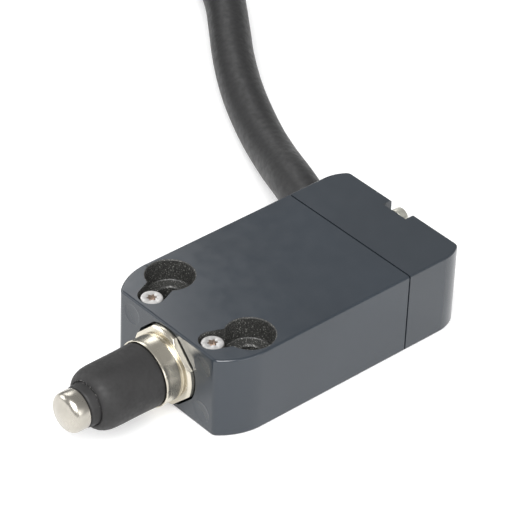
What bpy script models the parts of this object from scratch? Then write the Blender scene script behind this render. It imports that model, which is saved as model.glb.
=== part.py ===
"""Plunger limit switch in a flat metal housing, with a booted plunger and a side cable.

Frame: the origin is midway between the two mounting holes, on the back face.
+X runs across the width, +Y from the plunger towards the rear cap, +Z out of the back face.
All sizes below are in millimetres and are turned into metres by MM.
"""

import math

import bmesh
import bpy
from mathutils import Matrix, Vector

MM = 0.001
GAP = 0.3            # clearance left between neighbouring pieces
PAST = 1.0           # how far a cutting shape runs past the face that it opens

# --- driving dimensions -----------------------------------------------------
WIDTH = 30.0         # across X
THICK = 15.5         # along Z
HALF_W = WIDTH / 2
FRONT_Y = -9.0       # front face
SEAM_Y = 30.5        # joint between housing and rear cap
REAR_Y = 43.0        # rear face
EDGE = 0.42          # rounding of the outer top and bottom edges

FRONT_ARC_R = 11.0   # front corners
FRONT_CREASE_X = 11.85
REAR_ARC_R = 7.0     # rear corners
REAR_CREASE_X = 13.36

HOLE_PITCH = 20.0    # between the two mounting holes
HOLE_R = 2.15
SEAT_R = 4.1         # counterbore for the mounting screw's head
SEAT_Z = 11.4

HEAD_SCREW_X = 7.6   # the two small screws that keep the bushing in
HEAD_SCREW_Y = -5.88
HEAD_SCREW_R = 1.9
HEAD_SHANK_R = 1.0
HEAD_SHANK_END_Z = 2.0
HEAD_EDGE = 0.15
DRIVE_R = 0.72       # mean radius of the six-lobe recess
DRIVE_LOBE = 0.16
DRIVE_DEPTH = 0.7
RECESS_R = 2.35
RECESS_Z = 13.5
HEAD_TOP_Z = 15.05

AXIS_Z = 7.7         # height of the plunger's axis
POCKET_R = 7.3       # pocket in the front face for the bushing
POCKET_FLAT = 6.95   # from the axis to the pocket's four flats
POCKET_END_Y = -3.3
SPIGOT_BORE_R = 5.6
SPIGOT_END_Y = -1.3

TIP_Y = -30.55       # front end of the plunger
TIP_R = 3.5
TIP_BACK_Y = -27.1
TIP_DOME = 0.4       # height of the shallow dome on the end
TIP_ROUND = 1.1      # rounding between the dome and the side
HUB_R = 2.5          # the stem's thick part, under the boot's neck
HUB_END_Y = -24.2
STEM_R = 1.9
STEM_END_Y = 1.6
STEM_EDGE = 0.2
CLIP_GROOVE_Y = (-1.0, 0.2)
CLIP_GROOVE_R = 1.4

CAVITY_X = 12.4      # contact chamber
CAVITY_Z = (1.8, 13.6)
CAVITY_Y = 6.0
BOSS_X = 3.2         # boss under the top wall that takes the cap screw
BOSS_Z = 11.4
BOSS_Y = 23.8
THROAT_X = 4.6       # narrow chamber between the mounting holes
THROAT_Z = (2.2, 13.2)

REBATE = 1.0         # step around the chamber's mouth for the gasket
REBATE_DEPTH = 1.6
SPIGOT_Y = 28.4      # front end of the cap's spigot
SPIGOT_WALL = 1.0
REAR_WALL = 1.8

CAP_SCREW_Z = 13.75
CAP_SCREW_HEAD_R = 1.65
CAP_SCREW_SHANK_R = 0.8
CAP_SCREW_SEAT_Y = 41.0
CAP_SCREW_END_Y = 25.4
CAP_SCREW_SLOT = (0.44, 0.7)  # width and depth
NOTCH_HALF = 2.75

CABLE_R = 4.0
EXIT_X = -15.0       # where the cable's axis leaves the left side
EXIT_Y = 37.2
EXIT_Z = 7.75
EXIT_TURN = math.radians(20.0)  # the outlet leans this far towards the rear
OUTLET_R = 5.05
OUTLET_START = -5.6  # along the outlet's axis, from the housing's side
GROMMET_R = 4.75
GROMMET_END = 3.2    # how far the grommet stands out along the cable
CABLE_END_START = -9.3
FORK_GROOVE = (-7.8, -6.4)
FORK_GROOVE_R = 3.4
FORK_AT = (-7.5, -6.7)
FORK_HALF = (4.6, 4.2)
CORE_OFFSET = 1.3    # from the cable's axis to its cores, both ways
WIRE_R = 0.7

COIL_X, COIL_Y = -162.5, 19.0
COIL_IN_R, COIL_OUT_R = 31.0, 51.0
COIL_TOP = 32.0      # four layers of cable
COIL_CHAMFER = 2.5   # along the top edges
CHANNEL_X = -125.0   # the cable runs inside the coil's outline beyond this
TIE_ANGLES = {"coil_tie_a": math.radians(200.0), "coil_tie_b": math.radians(320.0)}
TIE_HALF = 2.3       # half the strap's width
TIE_THICK = 1.0
TIE_FOOT_Z = 0.1     # underside of the strap
TIE_TOP_Z = 33.8     # the strap's inside clears the cable where it crosses the strap
TIE_GAP = 0.5        # between the strap and the coil's sides

# Hand-chosen route of the cable from the grommet to the coil
ROUTE = [
    (-18.29, 38.40, 7.75), (-23.7, 40.6, 7.45), (-28.4, 42.7, 6.6), (-33.2, 45.0, 5.4),
    (-42.6, 49.4, 4.1), (-52.0, 54.0, 4.0), (-58.6, 57.7, 4.0), (-66.6, 62.9, 4.0),
    (-75.0, 69.1, 4.0), (-84.0, 75.4, 4.0), (-93.8, 80.1, 4.0), (-104.4, 81.7, 4.0),
    (-116.7, 79.9, 4.0), (-131.2, 76.0, 4.0), (-145.7, 72.2, 4.0), (-160.2, 68.3, 4.0),
    (-174.66, 64.4, 4.0),
]

ROUND = 40           # sides of a large turned piece


# --- helpers ------------------------------------------------------------------
def clear_scene():
    for obj in list(bpy.data.objects):
        bpy.data.objects.remove(obj, do_unlink=True)


def material(name, color, roughness, metallic):
    mat = bpy.data.materials.new(name)
    mat.use_nodes = True
    shader = mat.node_tree.nodes["Principled BSDF"]
    shader.inputs["Base Color"].default_value = (*color, 1.0)
    shader.inputs["Roughness"].default_value = roughness
    shader.inputs["Metallic"].default_value = metallic
    mat.diffuse_color = (*color, 1.0)
    return mat


def finish_object(name, bm, mat, smooth_angle=35.0, center=(0.0, 0.0, 0.0)):
    """Turn a bmesh in millimetres into an object in metres, its origin at center."""
    bmesh.ops.recalc_face_normals(bm, faces=bm.faces)
    bmesh.ops.translate(bm, verts=bm.verts, vec=-Vector(center))
    bmesh.ops.scale(bm, verts=bm.verts, vec=(MM, MM, MM))
    mesh = bpy.data.meshes.new(name)
    bm.to_mesh(mesh)
    bm.free()
    mesh.shade_smooth()
    mesh.set_sharp_from_angle(angle=math.radians(smooth_angle))
    obj = bpy.data.objects.new(name, mesh)
    obj.location = Vector(center) * MM
    if mat is not None:
        mesh.materials.append(mat)
    bpy.context.scene.collection.objects.link(obj)
    return obj


def add_box(bm, low, high):
    size = [high[i] - low[i] for i in range(3)]
    middle = [(high[i] + low[i]) / 2 for i in range(3)]
    place = Matrix.Translation(middle) @ Matrix.Diagonal((*size, 1.0))
    bmesh.ops.create_cube(bm, size=1.0, matrix=place)


def add_cylinder(bm, start, end, radius, sides=ROUND):
    start, end = Vector(start), Vector(end)
    along = end - start
    turn = along.to_track_quat("Z", "Y").to_matrix().to_4x4()
    place = Matrix.Translation((start + end) / 2) @ turn
    bmesh.ops.create_cone(bm, cap_ends=True, segments=sides, radius1=radius, radius2=radius,
                          depth=along.length, matrix=place)


def prism(outline, low, high, axis="Z"):
    """Extrude a closed outline from low to high along Z, or an X-Z outline along Y."""
    bm = bmesh.new()

    def point(p, level):
        return (p[0], p[1], level) if axis == "Z" else (p[0], level, p[1])

    rings = [[bm.verts.new(point(p, level)) for p in outline] for level in (low, high)]
    count = len(outline)
    for i in range(count):
        j = (i + 1) % count
        bm.faces.new((rings[0][i], rings[0][j], rings[1][j], rings[1][i]))
    bm.faces.new(rings[0])
    bm.faces.new(rings[1])
    return bm


def turned(profile, closed=False, sides=ROUND, axis="Y", center=(0.0, 0.0, AXIS_Z)):
    """Spin (station, radius) points about a line along Y or Z through center.

    A closed profile makes a ring; an open one starts and ends on the axis.
    """
    bm = bmesh.new()
    rings = []
    for station, radius in profile:
        ring = []
        for k in range(sides if radius > 0 else 1):
            a = 2 * math.pi * k / sides
            u, v = radius * math.cos(a), radius * math.sin(a)
            if axis == "Y":
                ring.append(bm.verts.new((center[0] + u, center[1] + station, center[2] + v)))
            else:
                ring.append(bm.verts.new((center[0] + u, center[1] + v, center[2] + station)))
        rings.append(ring)
    pairs = list(zip(rings, rings[1:]))
    if closed:
        pairs.append((rings[-1], rings[0]))
    for one, two in pairs:
        for k in range(sides):
            n = (k + 1) % sides
            if len(one) == 1:
                bm.faces.new((one[0], two[n], two[k]))
            elif len(two) == 1:
                bm.faces.new((one[k], one[n], two[0]))
            else:
                bm.faces.new((one[k], one[n], two[n], two[k]))
    return bm


def sweep(points, radius, sides, first=None):
    """Closed tube through the given points, its section carried along without twist."""
    bm = bmesh.new()
    points = [Vector(p) for p in points]
    tangents = []
    for i in range(len(points)):
        before, after = points[max(i - 1, 0)], points[min(i + 1, len(points) - 1)]
        tangents.append((after - before).normalized())
    if first is not None:
        tangents[0] = Vector(first).normalized()
    side = tangents[0].orthogonal().normalized()
    rings = []
    for point, tangent in zip(points, tangents):
        side = (side - tangent * side.dot(tangent)).normalized()
        other = tangent.cross(side)
        ring = []
        for k in range(sides):
            a = 2 * math.pi * k / sides
            ring.append(bm.verts.new(point + radius * (math.cos(a) * side + math.sin(a) * other)))
        rings.append(ring)
    for one, two in zip(rings, rings[1:]):
        for k in range(sides):
            n = (k + 1) % sides
            bm.faces.new((one[k], one[n], two[n], two[k]))
    bm.faces.new(rings[0])
    bm.faces.new(rings[-1])
    return bm


def smooth_path(points, step):
    """Read points about step apart from a centripetal Catmull-Rom curve."""
    pts = [Vector(p) for p in points]
    pts = [2 * pts[0] - pts[1]] + pts + [2 * pts[-1] - pts[-2]]
    dense = []
    for p0, p1, p2, p3 in zip(pts, pts[1:], pts[2:], pts[3:]):
        t1 = (p1 - p0).length ** 0.5
        t2 = t1 + (p2 - p1).length ** 0.5
        t3 = t2 + (p3 - p2).length ** 0.5
        for k in range(16):
            t = t1 + (t2 - t1) * k / 16
            a1 = p0.lerp(p1, t / t1)
            a2 = p1.lerp(p2, (t - t1) / (t2 - t1))
            a3 = p2.lerp(p3, (t - t2) / (t3 - t2))
            b1 = a1.lerp(a2, t / t2)
            b2 = a2.lerp(a3, (t - t1) / (t3 - t1))
            dense.append(b1.lerp(b2, (t - t1) / (t2 - t1)))
    dense.append(pts[-2])
    lengths = [0.0]
    for a, b in zip(dense, dense[1:]):
        lengths.append(lengths[-1] + (b - a).length)
    count = max(2, round(lengths[-1] / step))
    result = []
    k = 0
    for i in range(count + 1):
        want = lengths[-1] * i / count
        while k < len(dense) - 2 and lengths[k + 1] < want:
            k += 1
        part = (want - lengths[k]) / (lengths[k + 1] - lengths[k])
        result.append(dense[k].lerp(dense[k + 1], part))
    return result


def cutter(name, bm):
    obj = finish_object(name, bm, None)
    obj.hide_render = True
    obj.display_type = "WIRE"
    return obj


def cut(target, *tools, operation="DIFFERENCE"):
    for tool in tools:
        change = target.modifiers.new(tool.name, "BOOLEAN")
        change.operation = operation
        change.object = tool
    return target


def bevel_outer_edges(bm, levels, width):
    """Round the edges that lie flat at the given heights."""
    edges = []
    for edge in bm.edges:
        heights = [v.co.z for v in edge.verts]
        if any(all(abs(h - level) < 1e-6 for h in heights) for level in levels):
            edges.append(edge)
    bmesh.ops.bevel(bm, geom=edges, offset=width, segments=2, profile=0.5, affect="EDGES")


def arc(center, radius, start, end, count):
    """Points of an arc, the angles in degrees."""
    points = []
    for i in range(count + 1):
        a = math.radians(start + (end - start) * i / count)
        points.append((center[0] + radius * math.cos(a), center[1] + radius * math.sin(a)))
    return points


def mirror_x(points):
    return [(-x, *rest) for x, *rest in points]


# --- outlines -----------------------------------------------------------------
def housing_outline():
    center_x = HALF_W - FRONT_ARC_R
    across = FRONT_CREASE_X - center_x
    center_y = FRONT_Y + math.sqrt(FRONT_ARC_R ** 2 - across ** 2)
    start = -math.degrees(math.acos(across / FRONT_ARC_R))
    right = arc((center_x, center_y), FRONT_ARC_R, start, 0.0, 8)
    right.append((HALF_W, SEAM_Y - GAP / 2))
    return right + mirror_x(right)[::-1]


def cap_outline():
    center_x = HALF_W - REAR_ARC_R
    across = REAR_CREASE_X - center_x
    center_y = REAR_Y - math.sqrt(REAR_ARC_R ** 2 - across ** 2)
    end = math.degrees(math.acos(across / REAR_ARC_R))
    right = [(HALF_W, SEAM_Y + GAP / 2)] + arc((center_x, center_y), REAR_ARC_R, 0.0, end, 6)
    return right + mirror_x(right)[::-1]


def chamber_outline(grow):
    """X-Z section of the contact chamber, grown or shrunk all round."""
    x, low, high = CAVITY_X + grow, CAVITY_Z[0] - grow, CAVITY_Z[1] + grow
    boss_x, boss_z = BOSS_X - grow, BOSS_Z + grow
    right = [(x, low), (x, high), (boss_x, high), (boss_x, boss_z)]
    return right + mirror_x(right)[::-1]


# --- housing and rear cap -------------------------------------------------------
def make_housing(mat):
    bm = prism(housing_outline(), 0.0, THICK)
    bevel_outer_edges(bm, (0.0, THICK), EDGE)
    housing = finish_object("housing", bm, mat)

    pocket = prism(pocket_outline(), FRONT_Y - PAST, POCKET_END_Y, axis="Y")
    bore = bmesh.new()
    add_cylinder(bore, (0, POCKET_END_Y - PAST, AXIS_Z), (0, SPIGOT_END_Y, AXIS_Z),
                 SPIGOT_BORE_R)
    cut(housing, cutter("cut_pocket", pocket), cutter("cut_spigot_bore", bore))

    throat = bmesh.new()
    add_box(throat, (-THROAT_X, SPIGOT_END_Y - PAST, THROAT_Z[0]),
            (THROAT_X, CAVITY_Y + PAST, THROAT_Z[1]))
    front = bmesh.new()
    add_box(front, (-CAVITY_X, CAVITY_Y, CAVITY_Z[0]), (CAVITY_X, BOSS_Y, CAVITY_Z[1]))
    rear = prism(chamber_outline(0.0), BOSS_Y - PAST, SEAM_Y + PAST, axis="Y")
    rebate = prism(chamber_outline(REBATE), SEAM_Y - REBATE_DEPTH, SEAM_Y + 2 * PAST, axis="Y")
    cut(housing, cutter("cut_throat", throat), cutter("cut_chamber", front),
        cutter("cut_chamber_rear", rear), cutter("cut_rebate", rebate))

    for side, sign in (("left", -1), ("right", 1)):
        x = sign * HOLE_PITCH / 2
        hole = turned([(-PAST, 0), (-PAST, HOLE_R), (SEAT_Z, HOLE_R), (SEAT_Z, SEAT_R),
                       (THICK + PAST, SEAT_R), (THICK + PAST, 0)], axis="Z", center=(x, 0, 0))
        cut(housing, cutter(f"cut_mount_{side}", hole))
        screw_x = sign * HEAD_SCREW_X
        cut(housing, cutter(f"cut_recess_{side}", recess(sign)))
        shank = bmesh.new()
        add_cylinder(shank, (screw_x, HEAD_SCREW_Y, HEAD_SHANK_END_Z - GAP),
                     (screw_x, HEAD_SCREW_Y, RECESS_Z + PAST), HEAD_SHANK_R + GAP, 24)
        cut(housing, cutter(f"cut_shank_{side}", shank))
    screw = bmesh.new()
    add_cylinder(screw, (0, CAP_SCREW_END_Y - GAP, CAP_SCREW_Z), (0, SEAM_Y + PAST, CAP_SCREW_Z),
                 CAP_SCREW_SHANK_R + GAP, 24)
    cut(housing, cutter("cut_cap_screw", screw))
    return housing


def pocket_outline():
    """Circle with four diagonal flats, which keep the bushing from turning."""
    half = math.degrees(math.acos(POCKET_FLAT / POCKET_R))
    outline = []
    for k in range(4):
        flat = 45.0 + 90.0 * k
        outline += arc((0.0, AXIS_Z), POCKET_R, flat + half, flat + 90.0 - half, 8)
    return outline


def recess(sign):
    """Slot from a small screw to the counterbore beside it, open at the top."""
    start = Vector((sign * HEAD_SCREW_X, HEAD_SCREW_Y))
    end = Vector((sign * HOLE_PITCH / 2, 0.0))
    heading = math.degrees(math.atan2(*(end - start).yx))
    outline = arc(start, RECESS_R, heading + 90, heading + 270, 14)
    outline += arc(end, RECESS_R, heading - 90, heading + 90, 2)
    return prism(outline, RECESS_Z, THICK + PAST)


def make_rear_cap(mat):
    bm = prism(cap_outline(), 0.0, THICK)
    bevel_outer_edges(bm, (0.0, THICK), EDGE)
    cap = finish_object("rear_cap", bm, mat)
    spigot = prism(chamber_outline(-GAP), SPIGOT_Y, SEAM_Y + PAST, axis="Y")
    cut(cap, cutter("add_spigot", spigot), operation="UNION")
    hollow = prism(chamber_outline(-GAP - SPIGOT_WALL), SPIGOT_Y - PAST, REAR_Y - REAR_WALL, "Y")
    cut(cap, cutter("cut_cap_hollow", hollow))

    screw = bmesh.new()
    add_cylinder(screw, (0, SPIGOT_Y - PAST, CAP_SCREW_Z), (0, REAR_Y, CAP_SCREW_Z),
                 CAP_SCREW_SHANK_R + GAP, 24)
    cut(cap, cutter("cut_cap_screw_way", screw))
    notch = arc((0, CAP_SCREW_Z), NOTCH_HALF, 180, 360, 12)
    notch += [(NOTCH_HALF, THICK + PAST), (-NOTCH_HALF, THICK + PAST)]
    cut(cap, cutter("cut_notch", prism(notch, CAP_SCREW_SEAT_Y, REAR_Y + PAST, axis="Y")))

    outlet = bmesh.new()
    add_cylinder(outlet, on_cable(OUTLET_START), on_cable(OUTLET_R + PAST), OUTLET_R, 40)
    cut(cap, cutter("cut_outlet", outlet))
    return cap


def make_gasket(mat):
    start = SEAM_Y - REBATE_DEPTH + GAP
    outer = prism(chamber_outline(REBATE - GAP), start, SEAM_Y - GAP / 2, "Y")
    ring = finish_object("cap_gasket", outer, mat)
    inner = prism(chamber_outline(0.0), start - PAST, SEAM_Y + PAST, axis="Y")
    return cut(ring, cutter("cut_gasket", inner))


def make_cap_screw(mat):
    seat, head_end, edge = CAP_SCREW_SEAT_Y + GAP, REAR_Y, 0.2
    profile = [(CAP_SCREW_END_Y, 0), (CAP_SCREW_END_Y, CAP_SCREW_SHANK_R - edge),
               (CAP_SCREW_END_Y + edge, CAP_SCREW_SHANK_R), (seat, CAP_SCREW_SHANK_R),
               (seat, CAP_SCREW_HEAD_R), (head_end - edge, CAP_SCREW_HEAD_R),
               (head_end, CAP_SCREW_HEAD_R - edge), (head_end, 0)]
    bm = turned(profile, sides=32, center=(0, 0, CAP_SCREW_Z))
    screw = finish_object("cap_screw", bm, mat)
    slot = bmesh.new()
    wide, deep = CAP_SCREW_SLOT
    add_box(slot, (-CAP_SCREW_HEAD_R - PAST, head_end - deep, CAP_SCREW_Z - wide / 2),
            (CAP_SCREW_HEAD_R + PAST, head_end + PAST, CAP_SCREW_Z + wide / 2))
    return cut(screw, cutter("cut_cap_slot", slot))


def make_head_screw(side, sign, mat):
    x = sign * HEAD_SCREW_X
    head_low = RECESS_Z + GAP
    profile = [(HEAD_SHANK_END_Z, 0), (HEAD_SHANK_END_Z, HEAD_SHANK_R - HEAD_EDGE),
               (HEAD_SHANK_END_Z + HEAD_EDGE, HEAD_SHANK_R),
               (head_low, HEAD_SHANK_R), (head_low, HEAD_SCREW_R - HEAD_EDGE),
               (head_low + HEAD_EDGE, HEAD_SCREW_R), (HEAD_TOP_Z - HEAD_EDGE, HEAD_SCREW_R),
               (HEAD_TOP_Z, HEAD_SCREW_R - HEAD_EDGE), (HEAD_TOP_Z, 0)]
    bm = turned(profile, sides=24, axis="Z", center=(x, HEAD_SCREW_Y, 0))
    screw = finish_object(f"head_screw_{side}", bm, mat)
    outline = []
    for k in range(24):
        a = 2 * math.pi * k / 24
        radius = DRIVE_R + DRIVE_LOBE * math.cos(6 * a)
        outline.append((x + radius * math.cos(a), HEAD_SCREW_Y + radius * math.sin(a)))
    lobe = prism(outline, HEAD_TOP_Z - DRIVE_DEPTH, HEAD_TOP_Z + PAST)
    return cut(screw, cutter(f"cut_drive_{side}", lobe))


# --- plunger head ---------------------------------------------------------------
BUSH_FRONT_Y = -13.66    # front rim of the collar
BUSH_FLANGE_Y = -10.1
BUSH_FLANGE_R = 7.05
BUSH_FLANGE_BACK_Y = -7.2
BUSH_FLAT = 6.72         # from the axis to the four flats on the flange and the ring
BUSH_BEVEL = 0.35
BUSH_NECK_R = 6.25       # groove that the two small screws pass through
BUSH_NECK_END_Y = -4.56
BUSH_RING_R = 7.0
BUSH_BACK_Y = -3.6
BUSH_SPIGOT_R = 3.9
BUSH_END_Y = -1.0
BUSH_BORE_R = 3.2
COLLAR_R = 5.88
COLLAR_WAIST_R = 5.82
COLLAR_BORE_R = 5.55
COLLAR_FLOOR_Y = -11.4
SEAL_Y, SEAL_R, SEAL_SECTION = -2.3, 4.75, 0.55
SLEEVE_Y = (-12.3, -1.6)
SLEEVE_FLANGE = (0.6, 4.0)  # thickness and radius
SLEEVE_R, SLEEVE_BORE_R = 2.9, 2.2


def make_bushing(mat):
    """Flange, collar and spigot in one turned piece; it is kept by the two small screws."""
    profile = [
        (BUSH_FRONT_Y, COLLAR_BORE_R), (BUSH_FRONT_Y, COLLAR_R), (-12.0, COLLAR_WAIST_R),
        (BUSH_FLANGE_Y, COLLAR_R), (BUSH_FLANGE_Y, BUSH_FLANGE_R - BUSH_BEVEL),
        (BUSH_FLANGE_Y + BUSH_BEVEL, BUSH_FLANGE_R), (BUSH_FLANGE_BACK_Y, BUSH_FLANGE_R),
        (BUSH_FLANGE_BACK_Y, BUSH_NECK_R), (BUSH_NECK_END_Y, BUSH_NECK_R),
        (BUSH_NECK_END_Y, BUSH_RING_R), (BUSH_BACK_Y, BUSH_RING_R),
        (BUSH_BACK_Y, BUSH_SPIGOT_R), (BUSH_END_Y, BUSH_SPIGOT_R), (BUSH_END_Y, BUSH_BORE_R),
        (COLLAR_FLOOR_Y, BUSH_BORE_R), (COLLAR_FLOOR_Y, COLLAR_BORE_R),
    ]
    bushing = finish_object("guide_bushing", turned(profile, closed=True), mat)
    for k in range(4):
        a = math.radians(45 + 90 * k)
        out = Vector((math.cos(a), 0, math.sin(a)))
        across = Vector((-math.sin(a), 0, math.cos(a)))
        flat = bmesh.new()
        corners = []
        for depth in (BUSH_FLAT, BUSH_FLANGE_R + PAST):
            for wide in (-BUSH_RING_R / 2, BUSH_RING_R / 2):
                for y in (BUSH_FLANGE_Y - PAST, BUSH_BACK_Y + GAP):
                    corners.append(out * depth + across * wide + Vector((0, y, AXIS_Z)))
        verts = [flat.verts.new(c) for c in corners]
        bmesh.ops.convex_hull(flat, input=verts)
        cut(bushing, cutter(f"cut_flat_{k}", flat))
    return bushing


def make_seal(mat):
    ring = arc((SEAL_Y, SEAL_R), SEAL_SECTION, 0, 315, 7)
    return finish_object("bushing_seal", turned(ring, closed=True, sides=28), mat)


def make_sleeve(mat):
    start, end = SLEEVE_Y
    thick, flange_r = SLEEVE_FLANGE
    profile = [(start, SLEEVE_BORE_R), (start, flange_r), (start + thick, flange_r),
               (start + thick, SLEEVE_R), (end, SLEEVE_R), (end, SLEEVE_BORE_R)]
    return finish_object("guide_sleeve", turned(profile, closed=True, sides=24), mat)


def make_boot(mat):
    """Rubber boot: its skirt sits in the collar and its neck ends behind the tip."""
    shoulder = [(-22.5, 5.52), (-23.7, 5.36), (-24.5, 5.05), (-25.2, 4.5), (-25.5, 3.95)]
    outside = [(-11.7, 5.25), (-13.96, 5.25), (-13.96, 5.6), (-15.5, 5.57)] + shoulder
    neck = [(-25.3, 3.72), (-26.8, 3.65), (-26.8, 2.8)]
    inside = [(-25.0, 2.8), (-24.7, 3.5), (-24.2, 4.2), (-23.4, 4.5), (-22.5, 4.6),
              (-14.2, 4.6), (-13.4, 4.3), (-11.7, 4.3)]
    boot = turned(outside + neck + inside, closed=True, sides=36)
    return finish_object("rubber_boot", boot, mat, smooth_angle=50)


def make_plunger(mat):
    rim = TIP_R - TIP_ROUND
    start, end = CLIP_GROOVE_Y
    profile = [(TIP_Y, 0), (TIP_Y + TIP_DOME / 4, rim / 2)]
    profile += [(TIP_Y + TIP_DOME + TIP_ROUND - y, rim + r)
                for r, y in arc((0, 0), TIP_ROUND, 90, 0, 5)]
    profile += [(TIP_BACK_Y - STEM_EDGE, TIP_R), (TIP_BACK_Y, TIP_R - STEM_EDGE),
                (TIP_BACK_Y, HUB_R), (HUB_END_Y, HUB_R), (HUB_END_Y, STEM_R), (start, STEM_R),
                (start, CLIP_GROOVE_R), (end, CLIP_GROOVE_R), (end, STEM_R),
                (STEM_END_Y - STEM_EDGE, STEM_R), (STEM_END_Y, STEM_R - STEM_EDGE),
                (STEM_END_Y, 0)]
    local = [(y - TIP_BACK_Y, r) for y, r in profile]
    center = (0, TIP_BACK_Y, AXIS_Z)
    bm = turned(local, sides=32, center=center)
    return finish_object("plunger_pin", bm, mat, center=center)


def make_ring(name, low, high, inner, outer, mat):
    bm = turned([(low, inner), (low, outer), (high, outer), (high, inner)], closed=True, sides=24)
    return finish_object(name, bm, mat)


def make_spring(name, start, end, radius, wire, turns, mat, steps=12, sides=5):
    """Compression spring about the plunger's axis, its end turns wound flat."""
    points = []
    total = int(turns * steps)
    flat = 1.5 * wire
    for i in range(total + 1):
        turn = i / steps
        if turn < 1:
            y = start + wire + flat * turn
        elif turn > turns - 1:
            y = end - wire - flat * (turns - turn)
        else:
            part = (turn - 1) / (turns - 2)
            y = start + wire + flat + part * (end - start - 2 * wire - 2 * flat)
        a = 2 * math.pi * turn
        points.append((radius * math.cos(a), y, AXIS_Z + radius * math.sin(a)))
    return finish_object(name, sweep(points, wire, sides), mat, smooth_angle=80)


# --- contact unit -----------------------------------------------------------------
TRAY_X = 12.0
TRAY_Y = (6.4, 23.4)
TRAY_Z = (2.1, 11.0)
ROOM_X = 10.5            # room inside the tray
ROOM_Y = (7.9, 21.8)
ROOM_FLOOR_Z = 3.9
ROD_SLOT = (2.0, 4.5)    # half width and lower edge
COVER_Z = (11.3, 13.2)
SLIDER_LOW, SLIDER_HIGH = (-1.6, 6.6, 4.9), (1.6, 16.2, 10.5)
WINDOW_Y, WINDOW_Z = (8.1, 15.0), (6.3, 9.1)
ROD_Y = (STEM_END_Y + GAP, 7.2)
ROD_HALF = 1.6
BRIDGE_X = 7.2
BRIDGE_Y = (9.8, 10.5)
BRIDGE_HALF_Z = 1.0
CONTACT_X = 6.2
RIVET_R = 0.9
RIVET_OUT = 0.4          # how far the bridge's rivets stand out


def make_slider(mat):
    """Push rod with a window; the contact bridge sits in the window."""
    bm = bmesh.new()
    add_box(bm, SLIDER_LOW, SLIDER_HIGH)
    slider = finish_object("contact_slider", bm, mat)
    rod = bmesh.new()
    add_box(rod, (-ROD_HALF, ROD_Y[0], AXIS_Z - ROD_HALF), (ROD_HALF, ROD_Y[1], AXIS_Z + ROD_HALF))
    cut(slider, cutter("add_rod", rod), operation="UNION")
    window = bmesh.new()
    add_box(window, (SLIDER_LOW[0] - PAST, WINDOW_Y[0], WINDOW_Z[0]),
            (SLIDER_HIGH[0] + PAST, WINDOW_Y[1], WINDOW_Z[1]))
    return cut(slider, cutter("cut_window", window))


def make_tray(mat):
    bm = bmesh.new()
    add_box(bm, (-TRAY_X, TRAY_Y[0], TRAY_Z[0]), (TRAY_X, TRAY_Y[1], TRAY_Z[1]))
    tray = finish_object("contact_tray", bm, mat)
    top = TRAY_Z[1] + PAST
    room = bmesh.new()
    add_box(room, (-ROOM_X, ROOM_Y[0], ROOM_FLOOR_Z), (ROOM_X, ROOM_Y[1], top))
    slot = bmesh.new()
    half, slot_z = ROD_SLOT
    add_box(slot, (-half, TRAY_Y[0] - PAST, slot_z), (half, ROOM_Y[0] + PAST, top))
    cut(tray, cutter("cut_room", room), cutter("cut_rod_slot", slot))
    for side, sign in (("left", -1), ("right", 1)):
        for kind, sizes in TERMINALS.items():
            way = bmesh.new()
            inner, outer = sorted(sign * x for x in sizes["strip_x"])
            add_box(way, (inner - GAP, ROOM_Y[1] - PAST, sizes["strip_z"] - GAP),
                    (outer + GAP, TRAY_Y[1] + PAST, top))
            cut(tray, cutter(f"cut_way_{kind}_{side}", way))
    return tray


def make_cover(mat):
    bm = bmesh.new()
    add_box(bm, (-TRAY_X, TRAY_Y[0], COVER_Z[0]), (TRAY_X, TRAY_Y[1], COVER_Z[1]))
    cover = finish_object("contact_cover", bm, mat)
    notch = bmesh.new()
    add_box(notch, (-BOSS_X - GAP, BOSS_Y - 1.5, COVER_Z[0] - PAST),
            (BOSS_X + GAP, BOSS_Y + PAST, COVER_Z[1] + PAST))
    return cut(cover, cutter("cut_cover_notch", notch))


# Each pair of terminals: its strip's X range and lower edge, its contact plate and its rivet
TERMINALS = {
    "nc": {"strip_x": (9.4, 9.9), "strip_z": 8.1, "plate_y": (8.2, 8.7),
           "plate_z": (6.6, 9.9), "rivet_y": (8.5, 9.1)},
    "no": {"strip_x": (7.6, 8.1), "strip_z": 5.5, "plate_y": (14.75, 15.25),
           "plate_z": (5.5, 8.8), "rivet_y": (14.35, 14.9)},
}
STRIP_HIGH = 1.8
STRIP_END_Y = 25.8


def make_terminal(kind, side, sign, mat):
    """Strip bent into an L: a contact plate across X and a tail that runs out to the rear."""
    sizes = TERMINALS[kind]
    front, back = sizes["plate_y"]
    low, high = sizes["plate_z"]
    bm = bmesh.new()
    x_in, x_out = sorted((sign * (CONTACT_X - RIVET_R - GAP), sign * sizes["strip_x"][1]))
    add_box(bm, (x_in, front, low), (x_out, back, high))
    strip = finish_object(f"terminal_{kind}_{side}", bm, mat)
    tail = bmesh.new()
    t_in, t_out = sorted(sign * x for x in sizes["strip_x"])
    strip_z = sizes["strip_z"]
    add_box(tail, (t_in, front + 0.1, strip_z), (t_out, STRIP_END_Y, strip_z + STRIP_HIGH))
    rivet = bmesh.new()
    inner, outer = sizes["rivet_y"]
    add_cylinder(rivet, (sign * CONTACT_X, inner, AXIS_Z), (sign * CONTACT_X, outer, AXIS_Z),
                 RIVET_R, 16)
    cut(strip, cutter(f"add_tail_{kind}_{side}", tail), cutter(f"add_rivet_{kind}_{side}", rivet),
        operation="UNION")
    return strip


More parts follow.
